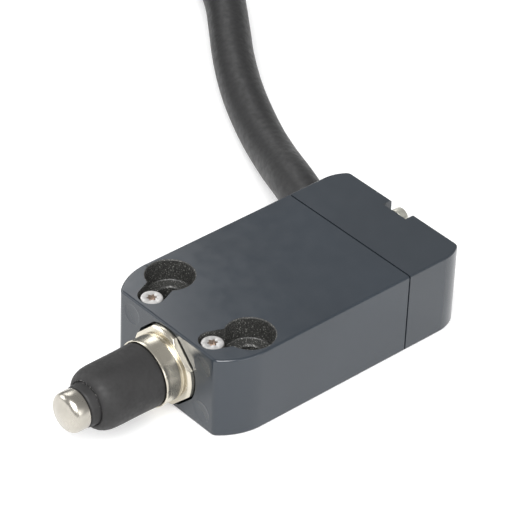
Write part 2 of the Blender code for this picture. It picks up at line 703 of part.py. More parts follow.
def make_bridge(mat):
    bm = bmesh.new()
    add_box(bm, (-BRIDGE_X, BRIDGE_Y[0], AXIS_Z - BRIDGE_HALF_Z),
            (BRIDGE_X, BRIDGE_Y[1], AXIS_Z + BRIDGE_HALF_Z))
    bridge = finish_object("contact_bridge", bm, mat)
    for side, sign in (("left", -1), ("right", 1)):
        rivet = bmesh.new()
        x = sign * CONTACT_X
        add_cylinder(rivet, (x, BRIDGE_Y[0] - RIVET_OUT, AXIS_Z),
                     (x, BRIDGE_Y[1] + RIVET_OUT, AXIS_Z), RIVET_R, 16)
        cut(bridge, cutter(f"add_bridge_rivet_{side}", rivet), operation="UNION")
    return bridge


# --- cable ---------------------------------------------------------------------------
def on_cable(distance, across=0.0, up=0.0):
    """Point on the outlet's axis, distance outwards from the housing's side."""
    along = Vector((-math.cos(EXIT_TURN), math.sin(EXIT_TURN), 0.0))
    sideways = Vector((math.sin(EXIT_TURN), math.cos(EXIT_TURN), 0.0))
    start = Vector((EXIT_X, EXIT_Y, EXIT_Z))
    return start + along * distance + sideways * across + Vector((0, 0, up))


def make_grommet(mat):
    bm = bmesh.new()
    start = OUTLET_START + 0.2
    add_cylinder(bm, on_cable(start), on_cable(GROMMET_END), GROMMET_R, 40)
    grommet = finish_object("cable_grommet", bm, mat)
    way = bmesh.new()
    add_cylinder(way, on_cable(start - PAST), on_cable(GROMMET_END + PAST), CABLE_R + GAP, 40)
    return cut(grommet, cutter("cut_grommet", way))


def make_cable_end(mat):
    """Sheathed end of the cable inside the rear cap, with a groove for the fork."""
    bm = bmesh.new()
    add_cylinder(bm, on_cable(CABLE_END_START), on_cable(GROMMET_END), CABLE_R, 32)
    stub = finish_object("cable_end", bm, mat)
    start, end = FORK_GROOVE
    outer = bmesh.new()
    add_cylinder(outer, on_cable(start), on_cable(end), CABLE_R + PAST, 32)
    groove = cutter("cut_fork_groove", outer)
    core = bmesh.new()
    add_cylinder(core, on_cable(start - GAP), on_cable(end + GAP), FORK_GROOVE_R, 32)
    cut(groove, cutter("keep_groove_core", core))
    return cut(stub, groove)


def make_fork(mat):
    """Stamped fork that grips the groove of the cable's sheath."""
    slot_r = FORK_GROOVE_R + GAP
    wide, high = FORK_HALF
    outline = [(-wide, -high), (wide, -high), (wide, high), (slot_r, high)]
    outline += arc((0, 0), slot_r, 0, -180, 14)
    outline += [(-slot_r, high), (-wide, high)]
    bm = bmesh.new()
    rings = []
    for distance in FORK_AT:
        rings.append([bm.verts.new(on_cable(distance, a, b)) for a, b in outline])
    count = len(outline)
    for i in range(count):
        j = (i + 1) % count
        bm.faces.new((rings[0][i], rings[0][j], rings[1][j], rings[1][i]))
    bm.faces.new(rings[0])
    bm.faces.new(rings[1])
    return finish_object("cable_fork", bm, mat)


def make_wires(colors):
    """Four insulated cores from the sheath's inner end to the terminal tails."""
    way_points = {
        "nc_left": [(-4.6, 29.5), (-8.4, 29.2)],
        "no_left": [(-4.6, 29.5), (-7.0, 29.2)],
        "nc_right": [(2.0, 31.6), (8.45, 29.6)],
        "no_right": [(2.0, 31.6), (6.65, 29.6)],
    }
    for (name, way), color in zip(way_points.items(), colors):
        kind, side = name.split("_")
        sign = -1 if side == "left" else 1
        sizes = TERMINALS[kind]
        end = Vector((sign * sum(sizes["strip_x"]) / 2, STRIP_END_Y + GAP,
                      sizes["strip_z"] + STRIP_HIGH / 2))
        across = sign * CORE_OFFSET
        up = CORE_OFFSET if kind == "nc" else -CORE_OFFSET
        start = on_cable(CABLE_END_START - GAP, across, up)
        lead = on_cable(CABLE_END_START - GAP - 1.6, across, up)
        first_z, last_z = (start.z, end.z) if sign < 0 else (start.z, (start.z + end.z) / 2)
        middle = [Vector((*way[0], first_z)), Vector((*way[1], last_z))]
        points = smooth_path([start, lead, *middle, end], 1.2)
        mat = material(f"core_{name}", color, 0.4, 0.0)
        bm = sweep(points, WIRE_R, 8, first=points[1] - points[0])
        finish_object(f"wire_{name}", bm, mat, smooth_angle=60)


def make_cable(mat):
    """Uncoiled stretch of the cable, from the grommet's face to the coil."""
    data = bpy.data.curves.new("cable", "CURVE")
    data.dimensions = "3D"
    data.bevel_depth = CABLE_R * MM
    data.bevel_resolution = 3
    data.use_fill_caps = True
    points = smooth_path(ROUTE, 14.0)
    points.insert(1, on_cable(GROMMET_END + GAP + 2.0))
    spline = data.splines.new("POLY")
    spline.points.add(len(points) - 1)
    for slot, point in zip(spline.points, points):
        slot.co = (*(point * MM), 1.0)
    data.materials.append(mat)
    obj = bpy.data.objects.new("cable", data)
    bpy.context.scene.collection.objects.link(obj)
    return obj


def make_coil(mat):
    """Outer shape of the coil, with a channel where the cable runs into it."""
    c = COIL_CHAMFER
    profile = [(0.0, COIL_IN_R), (0.0, COIL_OUT_R), (COIL_TOP - c, COIL_OUT_R),
               (COIL_TOP, COIL_OUT_R - c), (COIL_TOP, COIL_IN_R + c), (COIL_TOP - c, COIL_IN_R)]
    bm = turned(profile, closed=True, sides=64, axis="Z", center=(COIL_X, COIL_Y, 0))
    coil = finish_object("cable_coil", bm, mat)
    entry = [p for p in smooth_path(ROUTE, 7.0) if p.x < CHANNEL_X]
    heading = (entry[-1] - entry[-2]).normalized()
    entry.append(entry[-1] + heading * GAP)
    cut(coil, cutter("cut_entry", sweep(entry, CABLE_R + GAP, 20)))
    for name, angle in TIE_ANGLES.items():
        cut(coil, cutter(f"cut_under_{name}", tie_channel(angle)))
    return coil


def across_coil(radius, z, angle, side):
    """Point in the coil's section plane at the given angle, moved sideways along the turns."""
    out = Vector((math.cos(angle), math.sin(angle), 0.0))
    along = Vector((-math.sin(angle), math.cos(angle), 0.0))
    return Vector((COIL_X, COIL_Y, z)) + out * radius + along * side


def tie_channel(angle):
    """Shallow channel under the coil, in which the tie's strap passes."""
    bm = bmesh.new()
    corners = [across_coil(r, z, angle, s)
               for r in (COIL_IN_R - 3, COIL_OUT_R + 3)
               for z in (-1.0, TIE_FOOT_Z + TIE_THICK + GAP)
               for s in (-TIE_HALF - GAP, TIE_HALF + GAP)]
    bmesh.ops.convex_hull(bm, input=[bm.verts.new(c) for c in corners])
    return bm


def make_tie(name, angle, mat):
    """Closed strap around the coil's section."""
    near, far = COIL_IN_R - TIE_GAP, COIL_OUT_R + TIE_GAP
    low, t = TIE_FOOT_Z + TIE_THICK, TIE_THICK
    inner = [(near, low), (far, low), (far, TIE_TOP_Z), (near, TIE_TOP_Z)]
    outer = [(near - t, low - t), (far + t, low - t), (far + t, TIE_TOP_Z + t),
             (near - t, TIE_TOP_Z + t)]
    bm = bmesh.new()
    loops = []
    for side in (-TIE_HALF, TIE_HALF):
        loops.append([[bm.verts.new(across_coil(r, z, angle, side)) for r, z in ring]
                      for ring in (inner, outer)])
    count = len(inner)
    for i in range(count):
        j = (i + 1) % count
        for ring in (0, 1):
            bm.faces.new((loops[0][ring][i], loops[0][ring][j],
                          loops[1][ring][j], loops[1][ring][i]))
        for side in (0, 1):
            bm.faces.new((loops[side][0][i], loops[side][0][j],
                          loops[side][1][j], loops[side][1][i]))
    return finish_object(name, bm, mat)


# --- assembly ------------------------------------------------------------------------
def build():
    clear_scene()
    paint = material("dark_blue_grey_paint", (0.075, 0.083, 0.100), 0.45, 0.3)
    cap_paint = material("cap_paint", (0.072, 0.080, 0.097), 0.45, 0.3)
    nickel = material("nickel_plate", (0.72, 0.68, 0.60), 0.22, 1.0)
    screw_metal = material("zinc_screw", (0.78, 0.77, 0.75), 0.35, 1.0)
    tip_metal = material("plunger_steel", (0.76, 0.73, 0.66), 0.18, 1.0)
    rubber = material("boot_rubber", (0.035, 0.034, 0.034), 0.7, 0.0)
    seal_rubber = material("seal_rubber", (0.02, 0.02, 0.02), 0.6, 0.0)
    sheath = material("cable_sheath", (0.022, 0.023, 0.026), 0.55, 0.0)
    bronze = material("sleeve_bronze", (0.55, 0.36, 0.18), 0.4, 1.0)
    spring_steel = material("spring_steel", (0.6, 0.6, 0.6), 0.3, 1.0)
    brass = material("terminal_brass", (0.75, 0.56, 0.25), 0.3, 1.0)
    silver = material("contact_silver", (0.86, 0.85, 0.82), 0.25, 1.0)
    tray_plastic = material("tray_plastic", (0.75, 0.74, 0.68), 0.5, 0.0)
    slider_plastic = material("slider_plastic", (0.55, 0.06, 0.04), 0.45, 0.0)
    tie_plastic = material("tie_nylon", (0.03, 0.03, 0.03), 0.5, 0.0)

    make_housing(paint)
    make_rear_cap(cap_paint)
    make_gasket(seal_rubber)
    make_cap_screw(screw_metal)
    make_bushing(nickel)
    make_seal(seal_rubber)
    make_sleeve(bronze)
    make_boot(rubber)
    make_plunger(tip_metal)
    make_ring("spring_seat", -23.9, -23.3, 2.2, 3.8, spring_steel)
    make_ring("retaining_ring", -0.7, -0.1, 1.7, 3.2, spring_steel)
    make_spring("return_spring", -23.0, -12.6, 3.1, 0.35, 6, spring_steel)
    make_slider(slider_plastic)
    make_tray(tray_plastic)
    make_cover(tray_plastic)
    make_bridge(silver)
    make_spring("contact_spring", 10.8, 14.7, 0.9, 0.18, 5, spring_steel, steps=10)
    for side, sign in (("left", -1), ("right", 1)):
        make_head_screw(side, sign, screw_metal)
        for kind in TERMINALS:
            make_terminal(kind, side, sign, brass)
    make_grommet(seal_rubber)
    make_cable_end(sheath)
    make_fork(spring_steel)
    make_wires([(0.25, 0.12, 0.05), (0.03, 0.03, 0.03), (0.05, 0.12, 0.45), (0.5, 0.5, 0.5)])
    make_cable(sheath)
    make_coil(sheath)
    for name, angle in TIE_ANGLES.items():
        make_tie(name, angle, tie_plastic)


build()
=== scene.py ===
import math

import bmesh
import bpy
from mathutils import Matrix, Vector
from mathutils.geometry import convex_hull_2d


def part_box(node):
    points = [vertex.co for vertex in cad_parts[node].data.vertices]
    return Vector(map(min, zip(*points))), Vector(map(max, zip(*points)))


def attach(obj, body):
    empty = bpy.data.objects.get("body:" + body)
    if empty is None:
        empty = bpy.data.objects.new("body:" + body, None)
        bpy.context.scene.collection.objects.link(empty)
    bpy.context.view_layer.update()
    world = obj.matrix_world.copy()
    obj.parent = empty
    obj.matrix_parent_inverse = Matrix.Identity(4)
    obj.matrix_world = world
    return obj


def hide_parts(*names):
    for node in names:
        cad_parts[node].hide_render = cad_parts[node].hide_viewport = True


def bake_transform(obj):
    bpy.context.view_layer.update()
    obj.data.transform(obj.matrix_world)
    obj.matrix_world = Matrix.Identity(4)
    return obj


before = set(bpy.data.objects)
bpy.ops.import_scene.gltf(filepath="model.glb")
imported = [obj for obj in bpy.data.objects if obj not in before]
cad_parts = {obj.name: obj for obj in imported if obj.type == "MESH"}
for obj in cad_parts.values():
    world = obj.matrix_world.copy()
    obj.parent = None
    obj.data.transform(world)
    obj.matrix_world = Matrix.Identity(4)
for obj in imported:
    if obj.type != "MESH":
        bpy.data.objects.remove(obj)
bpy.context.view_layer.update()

# Lengths are in millimetres here and become metres through MM
MM = 0.001
GAP = 0.3
BODY, PLUNGER = "switch_body", "plunger"


def box_mm(node):
    """Low and high corner of a CAD node."""
    low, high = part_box(node)
    return [v / MM for v in low], [v / MM for v in high]


# --- sizes read from the frame --------------------------------------------------
HOUSING_LOW, HOUSING_HIGH = box_mm("housing")
HALF_W = HOUSING_HIGH[0]
THICK = HOUSING_HIGH[2]
FRONT_Y = HOUSING_LOW[1]
HOUSING_END = HOUSING_HIGH[1]
CAP_START = HOUSING_END + GAP
REAR_Y = box_mm("rear_cap")[1][1]
PIN_LOW, PIN_HIGH = box_mm("plunger_pin")
TIP_Y = PIN_LOW[1]
STEM_END = PIN_HIGH[1]
AXIS_Z = (PIN_LOW[2] + PIN_HIGH[2]) / 2
TIP_R = (PIN_HIGH[0] - PIN_LOW[0]) / 2
COLLAR_Y = box_mm("guide_bushing")[0][1]
HEAD_LOW, HEAD_HIGH = box_mm("head_screw_right")
SCREW_X = (HEAD_LOW[0] + HEAD_HIGH[0]) / 2
SCREW_Y = (HEAD_LOW[1] + HEAD_HIGH[1]) / 2
SCREW_TOP = HEAD_HIGH[2]
SCREW_HEAD_R = (HEAD_HIGH[0] - HEAD_LOW[0]) / 2
CAP_SCREW_LOW, CAP_SCREW_HIGH = box_mm("cap_screw")
NOTCH_Z = (CAP_SCREW_LOW[2] + CAP_SCREW_HIGH[2]) / 2
CAP_SCREW_END = CAP_SCREW_HIGH[1]
CAP_HEAD_R = (CAP_SCREW_HIGH[2] - CAP_SCREW_LOW[2]) / 2
COIL_LOW, COIL_HIGH = box_mm("cable_coil")
COIL_X = (COIL_LOW[0] + COIL_HIGH[0]) / 2
COIL_Y = (COIL_LOW[1] + COIL_HIGH[1]) / 2

# --- sizes shared with the CAD design ---------------------------------------------
FRONT_ARC_R, FRONT_CREASE_X = 11.0, 11.85
REAR_ARC_R, REAR_CREASE_X = 7.0, 13.36
EDGE = 0.42                  # rounding along the top and bottom edges
CREASE_REACH = 0.6           # rounding where a corner's arc meets the front or rear face
HOLE_X, HOLE_R, SEAT_R, SEAT_Z = 10.0, 2.15, 4.1, 11.4
RECESS_R, RECESS_Z = 2.35, 13.5
POCKET_R, POCKET_FLAT, POCKET_END_Y = 7.3, 6.95, -3.3
SPIGOT_BORE_R, SPIGOT_END_Y = 5.6, -1.3
CAVITY_X, CAVITY_Z, CAVITY_Y = 12.4, (1.8, 13.6), 6.0
BOSS_X, BOSS_Z, BOSS_Y = 3.2, 11.4, 23.8
THROAT_X, THROAT_Z = 4.6, (2.2, 13.2)
SHANK_R = 1.0
SHANK_END_Z = 1.6            # bottom of a small screw's hole
NOTCH_HALF, NOTCH_Y = 2.75, 41.0
CAP_WAY_Y, CAP_WAY_R = 25.0, 1.1
SPIGOT_Y, REBATE_Y = 28.4, HOUSING_END - 1.45
OUTLET_START, OUTLET_END, OUTLET_R = -5.6, 8.0, 5.05
CABLE_R = 4.0
CABLE_LENGTH = 2000.0
EXIT_POINT = Vector((-15.0, 37.2, 7.75))
EXIT_TURN = math.radians(20.0)
GROMMET_START, GROMMET_END = -5.4, 3.2

# --- finer sizes of the visual model ------------------------------------------------
PAST = 1.0                   # how far a cutter reaches past the face it opens
SEAT_RIM = 0.22              # rounding at a counterbore's upper rim
SEAT_EASE = 0.15             # rounding at its floor
HOLE_EASE = 0.25             # chamfer where a bore meets its seat
FILLET = 0.8                 # rounding between a slot and its counterbore
MARK_X, MARK_R, MARK_DEPTH = 8.8, 2.0, 0.07      # ejector marks on the front face
MARK_HEIGHTS = (3.2, 12.4)
LOBES, LOBE_R, LOBE_WAVE, LOBE_DEPTH = 6, 0.74, 0.15, 0.9
CAP_HEAD_LONG, CAP_SLOT_DEPTH, CAP_SLOT_HALF = 1.7, 0.7, 0.22
FLANGE_Y, FLANGE_BACK_Y = -10.1, -7.2
FLANGE_R, FLANGE_CHAMFER = 7.15, 0.40
FLANGE_FLAT, FLANGE_FLAT_FRONT = 6.83, 6.45      # the four flats, and their front chamfer
CREASE_Y, CREASE_R = -25.44, 3.93                # where the boot's shoulder meets its neck
TIP_BACK_Y, TIP_EDGE, TIP_DOME = -27.2, 1.15, 0.42
SPRING_START, SPRING_END = -23.0, -12.6
SPRING_R, SPRING_WIRE_R, SPRING_TURNS = 3.1, 0.35, 6
CORE_R, CORE_LONG, CORE_RING_R = 0.95, 14.0, 1.5
WIRE_R, WIRE_LONG = 0.5, 4.0

# The cable's route from the grommet to the coil, as in the CAD design
ROUTE = [
    (-18.29, 38.40, 7.75), (-23.7, 40.6, 7.45), (-28.4, 42.7, 6.6), (-33.2, 45.0, 5.4),
    (-42.6, 49.4, 4.1), (-52.0, 54.0, 4.0), (-58.6, 57.7, 4.0), (-66.6, 62.9, 4.0),
    (-75.0, 69.1, 4.0), (-84.0, 75.4, 4.0), (-93.8, 80.1, 4.0), (-104.4, 81.7, 4.0),
    (-116.7, 79.9, 4.0), (-131.2, 76.0, 4.0), (-145.7, 72.2, 4.0), (-160.2, 68.3, 4.0),
    (-174.66, 64.4, 4.0),
]


# --- materials ---------------------------------------------------------------------
class Shader:
    """Small helper around one material's node tree."""

    def __init__(self, name, color, roughness, metallic=0.0, **sockets):
        self.mat = bpy.data.materials.new(name)
        self.mat.use_nodes = True
        self.tree = self.mat.node_tree
        self.bsdf = self.tree.nodes["Principled BSDF"]
        self.bsdf.inputs["Base Color"].default_value = (*color, 1.0)
        self.bsdf.inputs["Roughness"].default_value = roughness
        self.bsdf.inputs["Metallic"].default_value = metallic
        for socket, value in sockets.items():
            self.bsdf.inputs[socket.replace("_", " ")].default_value = value
        self.coords = self.tree.nodes.new("ShaderNodeTexCoord")

    def node(self, kind, **values):
        made = self.tree.nodes.new(kind)
        for key, value in values.items():
            if key in made.inputs:
                made.inputs[key].default_value = value
            else:
                setattr(made, key, value)
        return made

    def link(self, start, end):
        self.tree.links.new(start, end)

    def position(self, scale=(1.0, 1.0, 1.0)):
        mapping = self.node("ShaderNodeMapping")
        mapping.inputs["Scale"].default_value = scale
        self.link(self.coords.outputs["Object"], mapping.inputs["Vector"])
        return mapping.outputs["Vector"]

    def noise(self, per_mm, detail=2.0, stretch=(1.0, 1.0, 1.0)):
        made = self.node("ShaderNodeTexNoise", Scale=per_mm / MM, Detail=detail)
        self.link(self.position(stretch), made.inputs["Vector"])
        return made.outputs["Fac"]

    def ramp(self, factor, stops):
        made = self.node("ShaderNodeValToRGB")
        elements = made.color_ramp.elements
        while len(elements) < len(stops):
            elements.new(0.5)
        for element, (place, color) in zip(elements, stops):
            element.position = place
            element.color = (*color, 1.0)
        self.link(factor, made.inputs["Fac"])
        return made.outputs["Color"]

    def spread(self, factor, low, high, start=0.3, end=0.7):
        made = self.node("ShaderNodeMapRange")
        for key, value in zip(("From Min", "From Max", "To Min", "To Max"),
                              (start, end, low, high)):
            made.inputs[key].default_value = value
        self.link(factor, made.inputs["Value"])
        return made.outputs["Result"]

    def color(self, output):
        self.link(output, self.bsdf.inputs["Base Color"])

    def roughness(self, output):
        self.link(output, self.bsdf.inputs["Roughness"])

    def bump(self, output, strength, distance_mm, after=None):
        made = self.node("ShaderNodeBump", Strength=strength, Distance=distance_mm * MM)
        self.link(output, made.inputs["Height"])
        if after is not None:
            self.link(after, made.inputs["Normal"])
        self.link(made.outputs["Normal"], self.bsdf.inputs["Normal"])
        return made.outputs["Normal"]


def shade(color, factor):
    """A lighter or darker shade of a colour."""
    return tuple(min(1.0, c * factor) for c in color)


def paint_material(name, color):
    """Semi-gloss enamel: faint tone drift and a soft orange peel."""
    roughness = 0.16
    s = Shader(name, color, roughness, 0.0, Specular_IOR_Level=0.55)
    drift = s.noise(0.06, 3.0)
    s.color(s.ramp(drift, [(0.3, shade(color, 0.93)), (0.7, shade(color, 1.07))]))
    s.roughness(s.spread(s.noise(0.4, 3.0), roughness - 0.03, roughness + 0.04))
    s.bump(s.noise(0.18, 0.0), 0.10, 0.05)
    return s.mat


def pocket_material(name, color):
    """Rough as-cast surface inside the pockets; its brightest grains are painted glints."""
    s = Shader(name, color, 0.55, 0.0, Specular_IOR_Level=0.5)
    grain = s.noise(4.2, 4.0)
    # the two top stops paint glints into the grain's colour, up to twelve times the base
    s.color(s.ramp(grain, [(0.30, shade(color, 0.4)), (0.52, color), (0.61, shade(color, 2.0)),
                           (0.70, shade(color, 12.0))]))
    s.roughness(s.spread(grain, 0.7, 0.3))
    s.bump(s.noise(3.2, 4.0), 0.7, 0.10)
    return s.mat


def turned_metal(name, color, rough_low, rough_high):
    """Plated or turned metal with fine tool rings around the Y axis."""
    s = Shader(name, color, rough_low, 1.0)
    cloud = s.noise(0.3, 2.0)
    s.color(s.ramp(cloud, [(0.3, shade(color, 0.93)), (0.7, shade(color, 1.04))]))
    s.roughness(s.spread(s.noise(0.5, 2.0), rough_low, rough_high))
    rings = s.noise(9.0, 2.0, stretch=(0.04, 1.0, 0.04))
    s.bump(rings, 0.10, 0.006)
    return s.mat


def plain_metal(name, color, roughness):
    """Plated or bare metal with a fine grain."""
    s = Shader(name, color, roughness, 1.0)
    s.color(s.ramp(s.noise(1.2, 4.0), [(0.3, shade(color, 0.86)), (0.7, shade(color, 1.06))]))
    s.roughness(s.spread(s.noise(3.0, 5.0), roughness - 0.06, roughness + 0.12))
    s.bump(s.noise(6.0, 4.0), 0.15, 0.02)
    return s.mat


def plastic_material(name, color, roughness, bump=0.12):
    """Moulded plastic or rubber with a fine texture."""
    s = Shader(name, color, roughness, 0.0)
    s.color(s.ramp(s.noise(0.7, 3.0), [(0.3, shade(color, 0.90)), (0.7, shade(color, 1.08))]))
    s.roughness(s.spread(s.noise(2.5, 4.0), roughness - 0.06, roughness + 0.08))
    s.bump(s.noise(7.0, 3.0), bump, 0.03)
    return s.mat


# Sockets of a Mix node that mixes colours, and the colour of dust
MIX_FACTOR, MIX_BASE, MIX_ADDED, MIX_COLOR = 0, 6, 7, 2
DUST = (0.34, 0.33, 0.32)


def boot_material(name, color):
    """Moulded rubber with a matt bloom and white dust caught in the neck's crease."""
    s = Shader(name, color, 0.62, 0.0, Specular_IOR_Level=0.45)
    cloud = s.noise(0.35, 5.0)
    base = s.ramp(cloud, [(0.32, shade(color, 0.82)), (0.68, shade(color, 1.22))])
    split = s.node("ShaderNodeSeparateXYZ")
    s.link(s.coords.outputs["Object"], split.inputs["Vector"])
    flat = s.node("ShaderNodeVectorMath", operation="MULTIPLY_ADD")
    s.link(s.coords.outputs["Object"], flat.inputs[0])
    flat.inputs[1].default_value = (1.0, 0.0, 1.0)
    flat.inputs[2].default_value = (0.0, 0.0, -AXIS_Z * MM)
    radius = s.node("ShaderNodeVectorMath", operation="LENGTH")
    s.link(flat.outputs[0], radius.inputs[0])
    place = s.node("ShaderNodeCombineXYZ")
    s.link(radius.outputs["Value"], place.inputs["X"])
    s.link(split.outputs["Y"], place.inputs["Y"])
    away = s.node("ShaderNodeVectorMath", operation="DISTANCE")
    s.link(place.outputs[0], away.inputs[0])
    away.inputs[1].default_value = (CREASE_R * MM, CREASE_Y * MM, 0.0)
    near = s.spread(away.outputs["Value"], 1.0, 0.0, 0.00012, 0.00030)
    high = s.node("ShaderNodeMath", operation="MULTIPLY")
    up = s.spread(split.outputs["Z"], 0.0, 1.0, AXIS_Z * MM, (AXIS_Z + 2.0) * MM)
    s.link(near, high.inputs[0])
    s.link(up, high.inputs[1])
    fleck = s.node("ShaderNodeMath", operation="MULTIPLY")
    s.link(high.outputs[0], fleck.inputs[0])
    s.link(s.spread(s.noise(3.2, 3.0), 0.0, 1.0, 0.56, 0.70), fleck.inputs[1])
    mix = s.node("ShaderNodeMix", data_type="RGBA")
    s.link(fleck.outputs[0], mix.inputs[MIX_FACTOR])
    s.link(base, mix.inputs[MIX_BASE])
    mix.inputs[MIX_ADDED].default_value = (*DUST, 1.0)
    s.color(mix.outputs[MIX_COLOR])
    s.roughness(s.spread(s.noise(1.3, 4.0), 0.55, 0.72))
    first = s.bump(s.noise(0.9, 3.0), 0.20, 0.06)
    s.bump(s.noise(8.0, 4.0), 0.25, 0.03, after=first)
    return s.mat


def sheath_material(name, color):
    """Cable sheath: satin rubber, slightly scuffed."""
    s = Shader(name, color, 0.5, 0.0, Specular_IOR_Level=0.5)
    s.color(s.ramp(s.noise(0.25, 5.0), [(0.3, shade(color, 0.85)), (0.7, shade(color, 1.18))]))
    s.roughness(s.spread(s.noise(0.9, 5.0), 0.42, 0.6))
    first = s.bump(s.noise(0.8, 2.0), 0.15, 0.05)
    s.bump(s.noise(9.0, 4.0), 0.3, 0.03, after=first)
    return s.mat


# --- mesh helpers ---------------------------------------------------------------------
def finish_mesh(name, bm, mat=None, angle=32.0):
    """Turn a mesh in millimetres into an object in metres."""
    bmesh.ops.recalc_face_normals(bm, faces=bm.faces)
    bmesh.ops.scale(bm, verts=bm.verts, vec=(MM, MM, MM))
    mesh = bpy.data.meshes.new(name)
    bm.to_mesh(mesh)
    bm.free()
    smooth(mesh, angle)
    obj = bpy.data.objects.new(name, mesh)
    if mat is not None:
        mesh.materials.append(mat)
    bpy.context.scene.collection.objects.link(obj)
    return obj


def smooth(mesh, angle):
    """Smooth shading, with edges sharper than an angle in degrees left sharp."""
    mesh.shade_smooth()
    mesh.set_sharp_from_angle(angle=math.radians(angle))


def box(low, high):
    bm = bmesh.new()
    size = [high[i] - low[i] for i in range(3)]
    middle = [(high[i] + low[i]) / 2 for i in range(3)]
    place = Matrix.Translation(middle) @ Matrix.Diagonal((*size, 1.0))
    bmesh.ops.create_cube(bm, size=1.0, matrix=place)
    return bm


def cylinder(start, end, radius, sides=64):
    bm = bmesh.new()
    start, end = Vector(start), Vector(end)
    along = end - start
    turn = along.to_track_quat("Z", "Y").to_matrix().to_4x4()
    bmesh.ops.create_cone(bm, cap_ends=True, segments=sides, radius1=radius, radius2=radius,
                          depth=along.length, matrix=Matrix.Translation((start + end) / 2) @ turn)
    return bm


def prism(outline, low, high, axis="Z"):
    """Outline drawn out between two levels along Z or Y."""
    bm = bmesh.new()

    def point(p, level):
        return (p[0], p[1], level) if axis == "Z" else (p[0], level, p[1])

    rings = [[bm.verts.new(point(p, level)) for p in outline] for level in (low, high)]
    count = len(outline)
    for i in range(count):
        j = (i + 1) % count
        bm.faces.new((rings[0][i], rings[0][j], rings[1][j], rings[1][i]))
    bm.faces.new(rings[0])
    bm.faces.new(rings[1])
    return bm


def turned(profile, closed=False, sides=96, axis="Y", center=(0.0, 0.0, None)):
    """Spin (station, radius) points about a line along Y or Z through center."""
    bm = bmesh.new()
    cx, cy, cz = center
    cz = AXIS_Z if cz is None else cz
    rings = []
    for station, radius in profile:
        ring = []
        for k in range(sides if radius > 0 else 1):
            a = 2 * math.pi * k / sides
            u, v = radius * math.cos(a), radius * math.sin(a)
            place = (cx + u, cy + station, cz + v) if axis == "Y" else (cx + u, cy + v, cz + station)
            ring.append(bm.verts.new(place))
        rings.append(ring)
    pairs = list(zip(rings, rings[1:]))
    if closed:
        pairs.append((rings[-1], rings[0]))
    for one, two in pairs:
        for k in range(sides):
            n = (k + 1) % sides
            if len(one) == 1:
                bm.faces.new((one[0], two[n], two[k]))
            elif len(two) == 1:
                bm.faces.new((one[k], one[n], two[0]))
            else:
                bm.faces.new((one[k], one[n], two[n], two[k]))
    return bm


def rounded(profile, radii, steps=4):
    """Replace each corner of a profile by a small arc-like curve of the given reach."""
    result = []
    for i, point in enumerate(profile):
        reach = radii[i] if i < len(radii) else 0.0
        if not reach or i in (0, len(profile) - 1):
            result.append(point)
            continue
        here = Vector(point)
        back = (Vector(profile[i - 1]) - here)
        ahead = (Vector(profile[i + 1]) - here)
        reach = min(reach, back.length * 0.49, ahead.length * 0.49)
        start = here + back.normalized() * reach
        end = here + ahead.normalized() * reach
        for k in range(steps + 1):
            t = k / steps
            result.append(tuple(start.lerp(here, t).lerp(here.lerp(end, t), t)))
    return result


def arc(center, radius, start, end, count):
    """Points of an arc between two angles in degrees."""
    points = []
    for i in range(count + 1):
        a = math.radians(start + (end - start) * i / count)
        points.append((center[0] + radius * math.cos(a), center[1] + radius * math.sin(a)))
    return points


def mirror_x(points):
    return [(-x, *rest) for x, *rest in points]


def carve(target, tools, operation="DIFFERENCE", bevel=None, angle=32.0):
    """Apply Boolean cutters, then an optional fine bevel, and remove the cutters."""
    for tool in tools:
        change = target.modifiers.new(tool.name, "BOOLEAN")
        change.operation = operation
        change.object = tool
        change.material_mode = "TRANSFER"
    if bevel:
        soft = target.modifiers.new("soft_edges", "BEVEL")
        soft.width = bevel * MM
        soft.segments = 2
        soft.limit_method = "ANGLE"
        soft.angle_limit = math.radians(40)
        soft.miter_outer = "MITER_ARC"
    bake_modifiers(target)
    smooth(target.data, angle)
    even = target.modifiers.new("even_normals", "WEIGHTED_NORMAL")
    even.keep_sharp = True
    even.weight = 100
    bake_modifiers(target)
    for tool in tools:
        bpy.data.objects.remove(tool, do_unlink=True)


def bake_modifiers(obj):
    """Replace an object's mesh by the result of its modifiers."""
    graph = bpy.context.evaluated_depsgraph_get()
    mesh = bpy.data.meshes.new_from_object(obj.evaluated_get(graph))
    obj.modifiers.clear()
    obj.data = mesh


def sweep(points, radius, sides, name, mat):
    """Closed round tube along a line of points."""
    bm = bmesh.new()
    points = [Vector(p) for p in points]
    side = None
    rings = []
    for i, point in enumerate(points):
        tangent = (points[min(i + 1, len(points) - 1)] - points[max(i - 1, 0)]).normalized()
        if side is None:
            side = tangent.orthogonal().normalized()
        side = (side - tangent * side.dot(tangent)).normalized()
        other = tangent.cross(side)
        ring = []
        for k in range(sides):
            a = 2 * math.pi * k / sides
            ring.append(bm.verts.new(point + radius * (math.cos(a) * side + math.sin(a) * other)))
        rings.append(ring)
    for one, two in zip(rings, rings[1:]):
        for k in range(sides):
            n = (k + 1) % sides
            bm.faces.new((one[k], one[n], two[n], two[k]))
    bm.faces.new(rings[0])
    bm.faces.new(rings[-1])
    return finish_mesh(name, bm, mat, angle=50)


# --- camera, light and floor --------------------------------------------------------
CAMERA_TARGET = (-0.002777, 0.012031, 0.018134)
CAMERA_AZIMUTH = math.radians(47.533)
CAMERA_ELEVATION = math.radians(36.444)
CAMERA_ROLL = math.radians(2.32)
CAMERA_DISTANCE = 0.5
CAMERA_LENS = 215.3
SENSOR_WIDTH = 36.0

